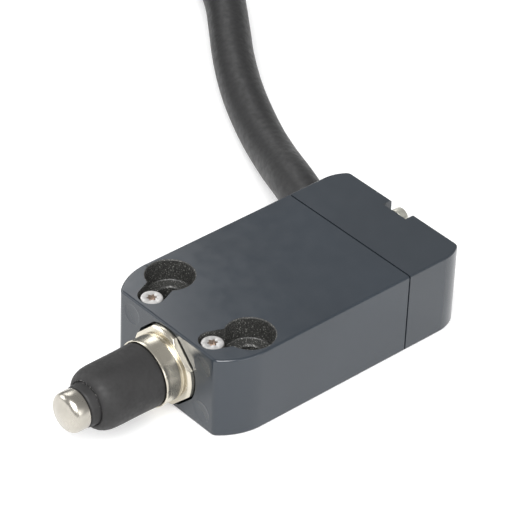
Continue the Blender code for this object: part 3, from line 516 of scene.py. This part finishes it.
# Soft panels: place in metres, width and height in metres, power in watts
PANELS = {
    "key": ((0.36, -0.42, 0.72), (0.75, 0.75), 10.0),
    "fill": ((-0.75, -0.45, 0.35), (0.6, 0.4), 2.5),
    "side": ((0.85, 0.10, 0.30), (0.6, 0.4), 2.0),
    "rear": ((-0.77, 0.31, 0.57), (0.5, 0.4), 1.6),
    "rim": ((0.38, -0.44, 0.76), (0.60, 0.60), 5.0),
}
MIRRORED_ONLY = ("rim",)
WORLD_STRENGTH = 0.42
FLOOR_HALF = 3000.0
FLOOR_DROP = 0.00002
FLOOR_GLOW = 0.30


def make_camera():
    """Long lens on the switch, from the front right and above."""
    flat = math.cos(CAMERA_ELEVATION)
    back = Vector((math.sin(CAMERA_AZIMUTH) * flat, -math.cos(CAMERA_AZIMUTH) * flat,
                   math.sin(CAMERA_ELEVATION)))
    level = Vector((math.cos(CAMERA_AZIMUTH), math.sin(CAMERA_AZIMUTH), 0.0))
    upright = back.cross(level)
    right = level * math.cos(CAMERA_ROLL) + upright * math.sin(CAMERA_ROLL)
    up = back.cross(right)
    data = bpy.data.cameras.new("camera")
    data.lens = CAMERA_LENS
    data.sensor_width = SENSOR_WIDTH
    data.clip_start = 0.01
    camera = bpy.data.objects.new("camera", data)
    turn = Matrix((right, up, back)).transposed().to_4x4()
    place = Vector(CAMERA_TARGET) + back * CAMERA_DISTANCE
    camera.matrix_world = Matrix.Translation(place) @ turn
    bpy.context.scene.collection.objects.link(camera)
    bpy.context.scene.camera = camera


def area_light(name, place, size, power):
    """Soft panel aimed at the origin; a mirrored panel shows in gloss and adds no diffuse light."""
    data = bpy.data.lights.new(name, "AREA")
    data.shape = "RECTANGLE"
    data.size, data.size_y = size
    data.energy = power
    light = bpy.data.objects.new(name, data)
    light.location = place
    light.rotation_euler = (-Vector(place)).to_track_quat("-Z", "Y").to_euler()
    light.visible_diffuse = name not in MIRRORED_ONLY
    bpy.context.scene.collection.objects.link(light)


def make_studio():
    """White surroundings, soft panels and a pale floor."""
    world = bpy.data.worlds.new("studio")
    bpy.context.scene.world = world
    world.use_nodes = True
    background = world.node_tree.nodes["Background"]
    background.inputs["Color"].default_value = (1.0, 1.0, 1.0, 1.0)
    background.inputs["Strength"].default_value = WORLD_STRENGTH
    for name, (place, size, power) in PANELS.items():
        area_light(name, place, size, power)

    bm = bmesh.new()
    bmesh.ops.create_grid(bm, x_segments=1, y_segments=1, size=FLOOR_HALF)
    floor = finish_mesh("floor", bm)
    floor.location.z = -FLOOR_DROP
    s = Shader("floor_paper", (0.86, 0.86, 0.86), 0.9)
    s.color(s.ramp(s.noise(0.02, 2.0), [(0.3, (0.80, 0.80, 0.80)), (0.7, (0.82, 0.82, 0.82))]))
    s.bsdf.inputs["Emission Color"].default_value = (1.0, 1.0, 1.0, 1.0)
    s.bsdf.inputs["Emission Strength"].default_value = FLOOR_GLOW
    floor.data.materials.append(s.mat)


# --- outlines ------------------------------------------------------------------------
def clear_of(points, corner):
    """The points that lie outside the rounding of a corner."""
    return [p for p in points if math.dist(p, corner) > 1.2 * CREASE_REACH]


def ease_corner(before, corner, after, steps=6):
    """Points of a small rounding in place of a corner between two directions."""
    corner = Vector(corner)
    start = corner + (Vector(before) - corner).normalized() * CREASE_REACH
    end = corner + (Vector(after) - corner).normalized() * CREASE_REACH
    return [tuple(start.lerp(corner, k / steps).lerp(corner.lerp(end, k / steps), k / steps))
            for k in range(steps + 1)]


def housing_outline():
    """Plan of the housing: straight rear end, large front corners that meet the face in a crease."""
    center_x = HALF_W - FRONT_ARC_R
    across = FRONT_CREASE_X - center_x
    center_y = FRONT_Y + math.sqrt(FRONT_ARC_R ** 2 - across ** 2)
    start = -math.degrees(math.acos(across / FRONT_ARC_R))
    curve = arc((center_x, center_y), FRONT_ARC_R, start, 0.0, 28)
    crease = ease_corner((0.0, FRONT_Y), curve[0], curve[2])
    right = crease + clear_of(curve, curve[0]) + [(HALF_W, HOUSING_END)]
    return right + mirror_x(right)[::-1]


def cap_outline():
    """Plan of the rear cap, with rounded rear corners."""
    center_x = HALF_W - REAR_ARC_R
    across = REAR_CREASE_X - center_x
    center_y = REAR_Y - math.sqrt(REAR_ARC_R ** 2 - across ** 2)
    end = math.degrees(math.acos(across / REAR_ARC_R))
    curve = arc((center_x, center_y), REAR_ARC_R, 0.0, end, 20)
    crease = ease_corner(curve[-3], curve[-1], (0.0, REAR_Y))
    right = [(HALF_W, CAP_START)] + clear_of(curve, curve[-1]) + crease
    return right + mirror_x(right)[::-1]


def chamber_outline(grow):
    """Section of the inner chamber, notched around the cap screw's boss, grown by an amount."""
    x, low, high = CAVITY_X + grow, CAVITY_Z[0] - grow, CAVITY_Z[1] + grow
    boss_x, boss_z = BOSS_X - grow, BOSS_Z + grow
    right = [(x, low), (x, high), (boss_x, high), (boss_x, boss_z)]
    return right + mirror_x(right)[::-1]


def soft_prism(outline, width, seam, steps=4):
    """Full-height prism with rounded top and bottom edges; its face at the seam stays flat."""
    bm = bmesh.new()
    count = len(outline)
    inward = []
    for i in range(count):
        sides = []
        for a, b in ((outline[i - 1], outline[i]), (outline[i], outline[(i + 1) % count])):
            if a[1] != seam or b[1] != seam:
                along = (Vector(b) - Vector(a)).normalized()
                sides.append(Vector((-along.y, along.x)))
        inward.append((sides[0] + sides[-1]) / (1 + sides[0].dot(sides[-1])))
    levels = []
    for k in range(steps + 1):
        a = math.pi / 2 * k / steps
        levels.append((width * (1 - math.cos(a)), width * (1 - math.sin(a))))
    levels += [(THICK - z, inset) for z, inset in levels[::-1]]
    rings = []
    for z, inset in levels:
        ring = []
        for p, way in zip(outline, inward):
            ring.append(bm.verts.new((p[0] + way.x * inset, p[1] + way.y * inset, z)))
        rings.append(ring)
    for low, high in zip(rings, rings[1:]):
        for i in range(count):
            j = (i + 1) % count
            bm.faces.new((low[i], low[j], high[j], high[i]))
    bm.faces.new(rings[0])
    bm.faces.new(rings[-1])
    return bm


# --- housing ---------------------------------------------------------------------------
def pocket_shape(radius, flat, low, high):
    """Round pocket with four diagonal flats, along Y."""
    half = math.degrees(math.acos(flat / radius))
    outline = []
    for k in range(4):
        middle = 45.0 + 90.0 * k
        outline += arc((0.0, AXIS_Z), radius, middle + half, middle + 90.0 - half, 16)
    return prism(outline, low, high, axis="Y")


def slot_outline(sign):
    """Plan of the slot that leads from a small screw into its counterbore."""
    start = Vector((sign * SCREW_X, SCREW_Y))
    end = Vector((sign * HOLE_X, 0.0))
    heading = math.degrees(math.atan2(*(end - start).yx))
    outline = arc(start, RECESS_R, heading + 90, heading + 270, 36)
    outline += arc(end, RECESS_R, heading - 90, heading + 90, 4)
    return outline


def junction_fillets(sign):
    """Plans of two small wedges that round the slot's corners into the counterbore."""
    start = Vector((sign * SCREW_X, SCREW_Y))
    end = Vector((sign * HOLE_X, 0.0))
    along = (end - start).normalized()
    across = Vector((-along.y, along.x))
    outlines = []
    for side in (-1, 1):
        reach = SEAT_R + FILLET
        depth = math.sqrt(reach ** 2 - (RECESS_R + FILLET) ** 2)
        center = end - along * depth + across * side * (RECESS_R + FILLET)
        touch_slot = center - across * side * FILLET
        touch_bore = end + (center - end) * SEAT_R / reach
        a0 = math.atan2(*(touch_slot - center).yx)
        a1 = math.atan2(*(touch_bore - center).yx)
        while a1 - a0 > math.pi:
            a1 -= 2 * math.pi
        while a0 - a1 > math.pi:
            a1 += 2 * math.pi
        curve = []
        for k in range(11):
            a = a0 + (a1 - a0) * k / 10
            curve.append((center.x + FILLET * math.cos(a), center.y + FILLET * math.sin(a)))
        inner = end - along * (depth - 1.2)
        bore_in = end + (touch_bore - end) * 0.8
        outlines.append(curve + [tuple(bore_in), tuple(inner)])
    return outlines


def mount_profile():
    """Bore, seat and counterbore of one mounting hole, as (height, radius) points."""
    profile = [(-PAST, 0), (-PAST, HOLE_R), (SEAT_Z - HOLE_EASE, HOLE_R),
               (SEAT_Z, HOLE_R + HOLE_EASE), (SEAT_Z, SEAT_R - SEAT_EASE),
               (SEAT_Z + SEAT_EASE, SEAT_R), (THICK - SEAT_RIM, SEAT_R)]
    for k in range(1, 5):
        a = math.pi / 2 * k / 4
        profile.append((THICK - SEAT_RIM + SEAT_RIM * math.sin(a),
                        SEAT_R + SEAT_RIM * (1 - math.cos(a))))
    return profile + [(THICK + PAST, SEAT_R + SEAT_RIM), (THICK + PAST, 0)]


def mark_profile():
    """Shallow dished mark in the front face, as (y, radius) points."""
    before, floor = FRONT_Y - 0.5, FRONT_Y + MARK_DEPTH
    return [(before, 0), (before, MARK_R), (FRONT_Y, MARK_R), (FRONT_Y + 0.05, MARK_R - 0.25),
            (floor, MARK_R - 0.5), (floor, 0)]


def make_housing(paint, pocket):
    """Die-cast body with its pocket, chamber, mounting holes and screw recesses."""
    housing = finish_mesh("housing_shell", soft_prism(housing_outline(), EDGE, HOUSING_END), paint)
    tools = []

    def tool(name, shape, mat=pocket):
        tools.append(finish_mesh("cut_" + name, shape, mat))

    tool("pocket", pocket_shape(POCKET_R, POCKET_FLAT, FRONT_Y - PAST, POCKET_END_Y), paint)
    tool("spigot_bore", turned([(POCKET_END_Y - 0.5, 0), (POCKET_END_Y - 0.5, SPIGOT_BORE_R),
                                (SPIGOT_END_Y, SPIGOT_BORE_R), (SPIGOT_END_Y, 0)]))
    tool("throat", box((-THROAT_X, SPIGOT_END_Y - 0.5, THROAT_Z[0]),
                       (THROAT_X, CAVITY_Y + 0.5, THROAT_Z[1])))
    tool("chamber", box((-CAVITY_X, CAVITY_Y, CAVITY_Z[0]), (CAVITY_X, BOSS_Y, CAVITY_Z[1])))
    tool("chamber_rear", prism(chamber_outline(0.0), BOSS_Y - 0.5, HOUSING_END + PAST, axis="Y"))
    tool("rebate", prism(chamber_outline(1.0), REBATE_Y, HOUSING_END + 1.5, axis="Y"))
    for side, sign in (("left", -1), ("right", 1)):
        center = (sign * HOLE_X, 0.0, 0.0)
        tool(f"mount_{side}", turned(mount_profile(), axis="Z", center=center, sides=112))
        tool(f"slot_{side}", prism(slot_outline(sign), RECESS_Z, THICK + PAST))
        for index, outline in enumerate(junction_fillets(sign)):
            tool(f"fillet_{side}_{index}", prism(outline, RECESS_Z + 0.01, THICK + 0.9))
        x = sign * SCREW_X
        tool(f"shank_{side}", cylinder((x, SCREW_Y, SHANK_END_Z), (x, SCREW_Y, RECESS_Z + 0.2),
                                       SHANK_R + GAP, 32))
        for index, z in enumerate(MARK_HEIGHTS):
            mark = turned(mark_profile(), sides=64, center=(sign * MARK_X, 0, z))
            tool(f"mark_{side}_{index}", mark, paint)
    tool("cap_screw", cylinder((0, CAP_WAY_Y, NOTCH_Z), (0, HOUSING_END + 2, NOTCH_Z),
                               CAP_WAY_R, 32))
    carve(housing, tools, bevel=0.1)
    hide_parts("housing")
    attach(housing, BODY)


def make_rear_cap(paint, pocket):
    """Closing cap: spigot into the housing, hollow, screw notch and cable outlet."""
    cap = finish_mesh("rear_cap_shell", soft_prism(cap_outline(), EDGE, CAP_START), paint)
    spigot = prism(chamber_outline(-GAP), SPIGOT_Y, CAP_START + 0.6, "Y")
    carve(cap, [finish_mesh("add_spigot", spigot, pocket)], operation="UNION")
    hollow = prism(chamber_outline(-1.3), SPIGOT_Y - PAST, REAR_Y - 1.8, "Y")
    way = cylinder((0, 27, NOTCH_Z), (0, REAR_Y, NOTCH_Z), CAP_WAY_R, 32)
    outlet = cylinder(on_cable(OUTLET_START), on_cable(OUTLET_END), OUTLET_R, 64)
    notch = arc((0, NOTCH_Z), NOTCH_HALF, 180, 360, 32)
    notch += [(NOTCH_HALF, THICK + PAST), (-NOTCH_HALF, THICK + PAST)]
    tools = [
        finish_mesh("cut_hollow", hollow, pocket),
        finish_mesh("cut_way", way, pocket),
        finish_mesh("cut_outlet", outlet, pocket),
        finish_mesh("cut_notch", prism(notch, NOTCH_Y, REAR_Y + PAST, "Y"), paint),
    ]
    carve(cap, tools, bevel=0.12)
    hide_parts("rear_cap")
    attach(cap, BODY)


# --- screws ------------------------------------------------------------------------------
def make_head_screw(side, sign, metal, dark):
    """Small six-lobe screw beside a mounting hole."""
    x = sign * SCREW_X
    low = RECESS_Z + GAP
    profile = [(2.0, 0), (2.0, 0.7), (2.4, SHANK_R), (low, SHANK_R), (low, SCREW_HEAD_R),
               (SCREW_TOP, SCREW_HEAD_R), (SCREW_TOP, 0)]
    profile = rounded(profile, (0, 0, 0, 0, 0.12, 0.22, 0))
    screw = finish_mesh(f"torx_screw_{side}",
                        turned(profile, axis="Z", center=(x, SCREW_Y, 0.0), sides=64), metal)
    outline = []
    for k in range(72):
        a = 2 * math.pi * k / 72 + 0.3 * sign
        radius = LOBE_R + LOBE_WAVE * math.cos(LOBES * a)
        outline.append((x + radius * math.cos(a), SCREW_Y + radius * math.sin(a)))
    lobe = finish_mesh("cut_lobe", prism(outline, SCREW_TOP - LOBE_DEPTH, SCREW_TOP + PAST), dark)
    carve(screw, [lobe], bevel=0.05)
    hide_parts(f"head_screw_{side}")
    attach(screw, BODY)


def make_cap_screw(metal):
    """Slotted screw in the cap's notch."""
    end = CAP_SCREW_END
    seat = end - CAP_HEAD_LONG
    profile = [(25.4, 0), (25.4, 0.5), (25.7, 0.8), (seat, 0.8), (seat, CAP_HEAD_R),
               (end, CAP_HEAD_R), (end, 0)]
    profile = rounded(profile, (0, 0, 0, 0, 0.1, 0.25, 0))
    screw = finish_mesh("slotted_cap_screw",
                        turned(profile, sides=64, center=(0, 0, NOTCH_Z)), metal)
    slot = finish_mesh("cut_slot", box((-2, end - CAP_SLOT_DEPTH, NOTCH_Z - CAP_SLOT_HALF),
                                       (2, end + PAST, NOTCH_Z + CAP_SLOT_HALF)), metal)
    carve(screw, [slot], bevel=0.05)
    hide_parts("cap_screw")
    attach(screw, BODY)


# --- plunger head ---------------------------------------------------------------------------
def make_bushing(metal):
    """Collar, flange with four flats and rear ring, as one turned part."""
    profile = [
        (COLLAR_Y, 5.62), (COLLAR_Y, 5.86), (-13.35, 5.88), (-12.9, 5.83), (-12.0, 5.81),
        (-11.0, 5.84), (-10.55, 5.88), (-10.45, 5.66), (FLANGE_Y, 5.66), (FLANGE_Y, 6.75),
        (FLANGE_Y + FLANGE_CHAMFER, FLANGE_R), (FLANGE_BACK_Y, FLANGE_R), (FLANGE_BACK_Y, 6.25),
        (-4.56, 6.25), (-4.56, 7.0), (-3.6, 7.0), (-3.6, 3.9), (-1.0, 3.9), (-1.0, 3.2),
        (-11.4, 3.2), (-11.4, 5.55), (-13.2, 5.55),
    ]
    profile = rounded(profile, (0, 0.1, 0.2, 0.2, 0, 0, 0, 0, 0.1, 0.12, 0.12), steps=3)
    bushing = finish_mesh("flanged_bushing", turned(profile, closed=True, sides=128), metal)
    stations = ((FLANGE_Y - 0.5, FLANGE_FLAT_FRONT), (FLANGE_Y + 0.35, FLANGE_FLAT),
                (POCKET_END_Y, FLANGE_FLAT))
    tools = []
    for k in range(4):
        a = math.radians(45 + 90 * k)
        out = Vector((math.cos(a), 0, math.sin(a)))
        across = Vector((-math.sin(a), 0, math.cos(a)))
        corners = []
        for y, depth in stations:
            for wide in (-3.5, 3.5):
                corners.append(out * depth + across * wide + Vector((0, y, AXIS_Z)))
                corners.append(out * 9.0 + across * wide + Vector((0, y, AXIS_Z)))
        flat = bmesh.new()
        bmesh.ops.convex_hull(flat, input=[flat.verts.new(c) for c in corners])
        tools.append(finish_mesh(f"cut_flat_{k}", flat, metal))
    carve(bushing, tools, bevel=0.06, angle=28)
    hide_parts("guide_bushing")
    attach(bushing, BODY)


def make_boot(rubber):
    """Boot of revolution: skirt in the collar, slightly waisted barrel, shoulder, neck."""
    outside = [(-11.7, 5.25), (-13.6, 5.25), (-13.72, 5.50), (-13.95, 5.60), (-14.6, 5.60),
               (-15.6, 5.56), (-17.0, 5.53), (-19.0, 5.52), (-21.0, 5.52), (-22.5, 5.50),
               (-23.4, 5.42), (-24.1, 5.25), (-24.7, 4.98), (-25.15, 4.62), (-25.40, 4.25),
               (-25.46, 3.98), (-25.34, 3.80), (-25.2, 3.74), (-25.5, 3.68), (-26.0, 3.64),
               (-26.6, 3.62), (-26.95, 3.56), (-27.05, 3.40), (-27.05, 2.8)]
    inside = [(-25.0, 2.8), (-24.7, 3.5), (-24.2, 4.2), (-23.4, 4.5), (-22.5, 4.6),
              (-19.0, 4.6), (-16.5, 4.6), (-14.2, 4.6), (-13.4, 4.3), (-11.7, 4.3)]
    bm = turned(outside + inside, closed=True, sides=128)
    boot = finish_mesh("rubber_bellows", bm, rubber, angle=60)
    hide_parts("rubber_boot")
    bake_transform(boot)
    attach(boot, BODY)


def make_plunger(metal):
    """Pin with a rounded tip; the neck and the stem run on through the bushing."""
    flat_r = TIP_R - TIP_EDGE
    edge_y = TIP_Y + TIP_DOME
    profile = [(TIP_Y, 0)]
    for k in range(1, 9):
        r = flat_r * k / 8
        profile.append((TIP_Y + TIP_DOME * (r / flat_r) ** 2, r))
    for k in range(1, 11):
        a = math.pi / 2 * k / 10
        profile.append((edge_y + 1.25 * (1 - math.cos(a)), flat_r + TIP_EDGE * math.sin(a)))
    profile += [(TIP_BACK_Y - 0.25, TIP_R), (TIP_BACK_Y - 0.07, TIP_R - 0.05),
                (TIP_BACK_Y, TIP_R - 0.2), (TIP_BACK_Y, 2.5), (-24.2, 2.5), (-24.2, 1.9),
                (-1.0, 1.9), (-1.0, 1.4), (0.2, 1.4), (0.2, 1.9), (STEM_END - 0.2, 1.9),
                (STEM_END, 1.7), (STEM_END, 0)]
    pin = finish_mesh("steel_plunger", turned(profile, sides=96), metal, angle=30)
    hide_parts("plunger_pin")
    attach(pin, PLUNGER)


def make_return_spring(metal):
    """Coil spring with one closed turn at each end."""
    steps = 40
    flat = 1.5 * SPRING_WIRE_R
    first = SPRING_START + SPRING_WIRE_R
    open_length = SPRING_END - SPRING_START - 2 * SPRING_WIRE_R - 2 * flat
    points = []
    for i in range(SPRING_TURNS * steps + 1):
        turn = i / steps
        if turn < 1:
            y = first + flat * turn
        elif turn > SPRING_TURNS - 1:
            y = SPRING_END - SPRING_WIRE_R - flat * (SPRING_TURNS - turn)
        else:
            y = first + flat + (turn - 1) / (SPRING_TURNS - 2) * open_length
        a = 2 * math.pi * turn
        points.append((SPRING_R * math.cos(a), y, AXIS_Z + SPRING_R * math.sin(a)))
    spring = sweep(points, SPRING_WIRE_R, 12, "plunger_return_spring", metal)
    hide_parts("return_spring")
    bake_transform(spring)
    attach(spring, BODY)


# --- cable ---------------------------------------------------------------------------------
def on_cable(distance):
    """Point on the cable's axis at a distance out of the cap's side."""
    along = Vector((-math.cos(EXIT_TURN), math.sin(EXIT_TURN), 0.0))
    return EXIT_POINT + along * distance


def smooth_route(points, step):
    """Read points about step apart from a centripetal Catmull-Rom curve."""
    pts = [Vector(p) for p in points]
    pts = [2 * pts[0] - pts[1]] + pts + [2 * pts[-1] - pts[-2]]
    dense = []
    for p0, p1, p2, p3 in zip(pts, pts[1:], pts[2:], pts[3:]):
        t1 = (p1 - p0).length ** 0.5
        t2 = t1 + (p2 - p1).length ** 0.5
        t3 = t2 + (p3 - p2).length ** 0.5
        count = max(2, round((p2 - p1).length / step))
        for k in range(count):
            t = t1 + (t2 - t1) * k / count
            a1 = p0.lerp(p1, t / t1)
            a2 = p1.lerp(p2, (t - t1) / (t2 - t1))
            a3 = p2.lerp(p3, (t - t2) / (t3 - t2))
            b1 = a1.lerp(a2, t / t2)
            b2 = a2.lerp(a3, (t - t1) / (t3 - t1))
            dense.append(b1.lerp(b2, (t - t1) / (t2 - t1)))
    dense.append(pts[-2])
    return dense


COIL_ENTRY = math.radians(105.0)
COIL_OUTER, COIL_INNER = 47.0, 35.0
PASS_TURN, CLIMB_TURN = math.radians(540.0), math.radians(120.0)
LAYERS = 4
TIE_ANGLES = {"coil_tie_a": math.radians(200.0), "coil_tie_b": math.radians(320.0)}
TIE_LIFT = 1.3               # how far the turns rise over a tie
TIE_REACH = math.radians(28.0)
TIE_HALF, TIE_THICK, TIE_SLACK = 2.0, 1.0, 0.1


def coil_place(turn):
    """Radius factor and layer at a turned angle: 0 is the outer radius, 1 the inner one."""
    if turn < 0:
        return 0.0, 0.0
    period = PASS_TURN + CLIMB_TURN
    layer = int(turn // period)
    rest = turn - layer * period
    across = min(rest / PASS_TURN, 1.0)
    climb = max(0.0, (rest - PASS_TURN) / CLIMB_TURN)
    climb = climb * climb * (3 - 2 * climb)
    if layer % 2:
        across = 1.0 - across
    return across, min(layer + climb, LAYERS - 1)


def coil_point(turn):
    """Centre of the cable at a turned angle, eased where the winding reverses or climbs."""
    window = math.radians(30.0)
    weights, across, layer = 0.0, 0.0, 0.0
    for k in range(-6, 7):
        weight = 1 + math.cos(math.pi * k / 7)
        a, b = coil_place(turn + window * k / 6)
        weights += weight
        across += weight * a
        layer += weight * b
    radius = COIL_OUTER - (COIL_OUTER - COIL_INNER) * across / weights
    angle = COIL_ENTRY + turn
    z = CABLE_R + 2 * CABLE_R * layer / weights
    for tie in TIE_ANGLES.values():
        off = abs((angle - tie + math.pi) % (2 * math.pi) - math.pi) / TIE_REACH
        if off < 1:
            z += TIE_LIFT * 0.5 * (1 + math.cos(math.pi * off))
    return Vector((COIL_X + radius * math.cos(angle), COIL_Y + radius * math.sin(angle), z))


def cable_line():
    """The cable's centre line: its route, then turns of the coil until its length is used up."""
    line = smooth_route(ROUTE, 4.0)
    length = sum((b - a).length for a, b in zip(line, line[1:]))
    turn, step = 0.0, math.radians(5.0)
    while length < CABLE_LENGTH:
        turn += step
        point = coil_point(turn)
        reach = (point - line[-1]).length
        if length + reach >= CABLE_LENGTH:
            point = line[-1].lerp(point, (CABLE_LENGTH - length) / reach)
        line.append(point)
        length += reach
    return line


def make_tie(name, angle, line, mat):
    """Strap drawn around the turns where they pass one angle of the coil."""
    out = Vector((math.cos(angle), math.sin(angle), 0.0))
    across = Vector((-out.y, out.x, 0.0))
    center = Vector((COIL_X, COIL_Y, 0.0))
    around = []
    for a, b in zip(line, line[1:]):
        before, after = (a - center).dot(across), (b - center).dot(across)
        if before * after <= 0 and before != after and (a - center).dot(out) > 0:
            hit = a.lerp(b, before / (before - after)) - center
            for k in range(32):
                t = 2 * math.pi * k / 32
                reach = CABLE_R + TIE_SLACK
                around.append((hit.dot(out) + reach * math.cos(t), hit.z + reach * math.sin(t)))
    hull = [Vector(around[i]) for i in convex_hull_2d(around)]
    bm = bmesh.new()
    loops = []
    for grow, wide in ((0.0, -TIE_HALF), (TIE_THICK, -TIE_HALF), (TIE_THICK, TIE_HALF),
                       (0.0, TIE_HALF)):
        loop = []
        for i, p in enumerate(hull):
            along = (hull[(i + 1) % len(hull)] - hull[i - 1]).normalized()
            q = p + Vector((along.y, -along.x)) * grow
            loop.append(bm.verts.new(center + out * q.x + across * wide + Vector((0, 0, q.y))))
        loops.append(loop)
    for low, high in zip(loops, loops[1:] + loops[:1]):
        for i in range(len(hull)):
            j = (i + 1) % len(hull)
            bm.faces.new((low[i], low[j], high[j], high[i]))
    tie = finish_mesh(name.replace("tie", "strap"), bm, mat)
    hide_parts(name)
    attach(tie, BODY)
    return tie


def make_cable(sheath, core_colors, copper, tie_mat):
    """Sheathed cable with its coil, its bare end of four cores and its ties."""
    line = cable_line()
    data = bpy.data.curves.new("cable_cord", "CURVE")
    data.dimensions = "3D"
    data.bevel_depth = CABLE_R * MM
    data.bevel_resolution = 8
    data.use_fill_caps = True
    spline = data.splines.new("POLY")
    spline.points.add(len(line) - 1)
    for slot, point in zip(spline.points, line):
        slot.co = (*(point * MM), 1.0)
    spline.use_smooth = True
    data.materials.append(sheath)
    cable = bpy.data.objects.new("cable_cord", data)
    bpy.context.scene.collection.objects.link(cable)
    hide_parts("cable", "cable_coil")
    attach(cable, BODY)

    end = line[-1]
    along = (line[-1] - line[-2]).normalized()
    side = along.cross(Vector((0, 0, 1))).normalized()
    up = side.cross(along)
    for index, (name, color) in enumerate(core_colors.items()):
        a = math.pi / 4 + math.pi / 2 * index
        offset = side * math.cos(a) * CORE_RING_R + up * math.sin(a) * CORE_RING_R
        flare = side * math.cos(a) * 1.2 + up * math.sin(a) * 0.8
        points = []
        for k in range(13):
            t = k / 12
            points.append(end + offset + along * (-0.5 + CORE_LONG * t) + flare * t * t)
        core = sweep(points, CORE_R, 16, f"core_end_{name}", color)
        tip = (points[-1] - points[-2]).normalized()
        ends = [points[-1] - tip, points[-1] + tip * WIRE_LONG]
        wire = sweep(ends, WIRE_R, 12, f"core_wire_{name}", copper)
        for piece in (core, wire):
            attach(piece, BODY)
    ties = [make_tie(name, angle, line, tie_mat) for name, angle in TIE_ANGLES.items()]


def make_grommet(rubber):
    """Rubber sleeve around the cable in the cap's outlet."""
    end = GROMMET_END
    profile = [(GROMMET_START, 4.3), (GROMMET_START, 4.75), (end - 1.6, 4.75), (end - 0.5, 4.62),
               (end, 4.45), (end, 4.06)]
    profile = rounded(profile, (0, 0, 0.3, 0.3, 0.15), steps=4)
    bm = turned(profile, closed=True, sides=64, axis="Z", center=(0, 0, 0.0))
    along = on_cable(1) - on_cable(0)
    turn = along.to_track_quat("Z", "Y").to_matrix().to_4x4()
    bm.transform(Matrix.Translation(EXIT_POINT) @ turn)
    grommet = finish_mesh("outlet_grommet", bm, rubber)
    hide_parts("cable_grommet")
    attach(grommet, BODY)


# --- carried-over CAD pieces --------------------------------------------------------------
def dress_nodes(materials):
    """Give CAD pieces that are shown as they are their materials."""
    for node, mat in materials.items():
        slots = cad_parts[node].data.materials
        slots.clear()
        slots.append(mat)


def build():
    make_camera()
    make_studio()
    paint = paint_material("housing_enamel", (0.0255, 0.0325, 0.0415))
    cap_paint = paint_material("cap_enamel", (0.0265, 0.0330, 0.0410))
    pocket = pocket_material("cast_pocket", (0.030, 0.030, 0.028))
    nickel = turned_metal("nickel_plating", (0.63, 0.59, 0.50), 0.22, 0.28)
    steel = turned_metal("plunger_steel_finish", (0.47, 0.445, 0.395), 0.26, 0.32)
    zinc = plain_metal("zinc_plated_screw", (0.66, 0.65, 0.64), 0.42)
    drive = plain_metal("screw_drive_shadow", (0.46, 0.39, 0.34), 0.45)
    cap_metal = plain_metal("cap_screw_plating", (0.68, 0.67, 0.60), 0.35)
    rubber = boot_material("boot_rubber_finish", (0.0155, 0.0150, 0.0152))
    seal = plastic_material("seal_rubber_finish", (0.018, 0.018, 0.018), 0.6)
    sheath = sheath_material("cable_sheath_finish", (0.008, 0.008, 0.0085))
    bronze = plain_metal("sleeve_bronze_finish", (0.55, 0.36, 0.18), 0.38)
    spring = plain_metal("spring_steel_finish", (0.62, 0.62, 0.62), 0.28)
    brass = plain_metal("terminal_brass_finish", (0.78, 0.58, 0.26), 0.28)
    silver = plain_metal("contact_silver_finish", (0.88, 0.87, 0.84), 0.22)
    copper = plain_metal("core_copper", (0.72, 0.38, 0.22), 0.3)
    cream = plastic_material("tray_plastic_finish", (0.72, 0.70, 0.62), 0.48)
    red = plastic_material("slider_plastic_finish", (0.50, 0.05, 0.035), 0.42)
    nylon = plastic_material("tie_nylon_finish", (0.022, 0.022, 0.022), 0.45)
    cores = {
        "nc_left": plastic_material("core_brown_finish", (0.20, 0.09, 0.04), 0.4, 0.05),
        "no_left": plastic_material("core_black_finish", (0.02, 0.02, 0.02), 0.4, 0.05),
        "nc_right": plastic_material("core_blue_finish", (0.04, 0.10, 0.40), 0.4, 0.05),
        "no_right": plastic_material("core_grey_finish", (0.35, 0.35, 0.36), 0.4, 0.05),
    }

    make_cable(sheath, cores, copper, nylon)
    make_grommet(seal)
    make_housing(paint, pocket)
    make_rear_cap(cap_paint, pocket)
    make_cap_screw(cap_metal)
    for side, sign in (("left", -1), ("right", 1)):
        make_head_screw(side, sign, zinc, drive)
    make_bushing(nickel)
    make_boot(rubber)
    make_plunger(steel)
    make_return_spring(spring)

    carried = {
        "cap_gasket": seal, "bushing_seal": seal, "guide_sleeve": bronze, "spring_seat": spring,
        "retaining_ring": spring, "contact_slider": red, "contact_tray": cream,
        "contact_cover": cream, "contact_bridge": silver, "contact_spring": spring,
        "cable_end": sheath, "cable_fork": spring,
    }
    for name, mat in cores.items():
        carried["wire_" + name] = mat
        carried["terminal_" + name] = brass
    dress_nodes(carried)


bpy.context.scene.view_settings.view_transform = "Standard"
build()
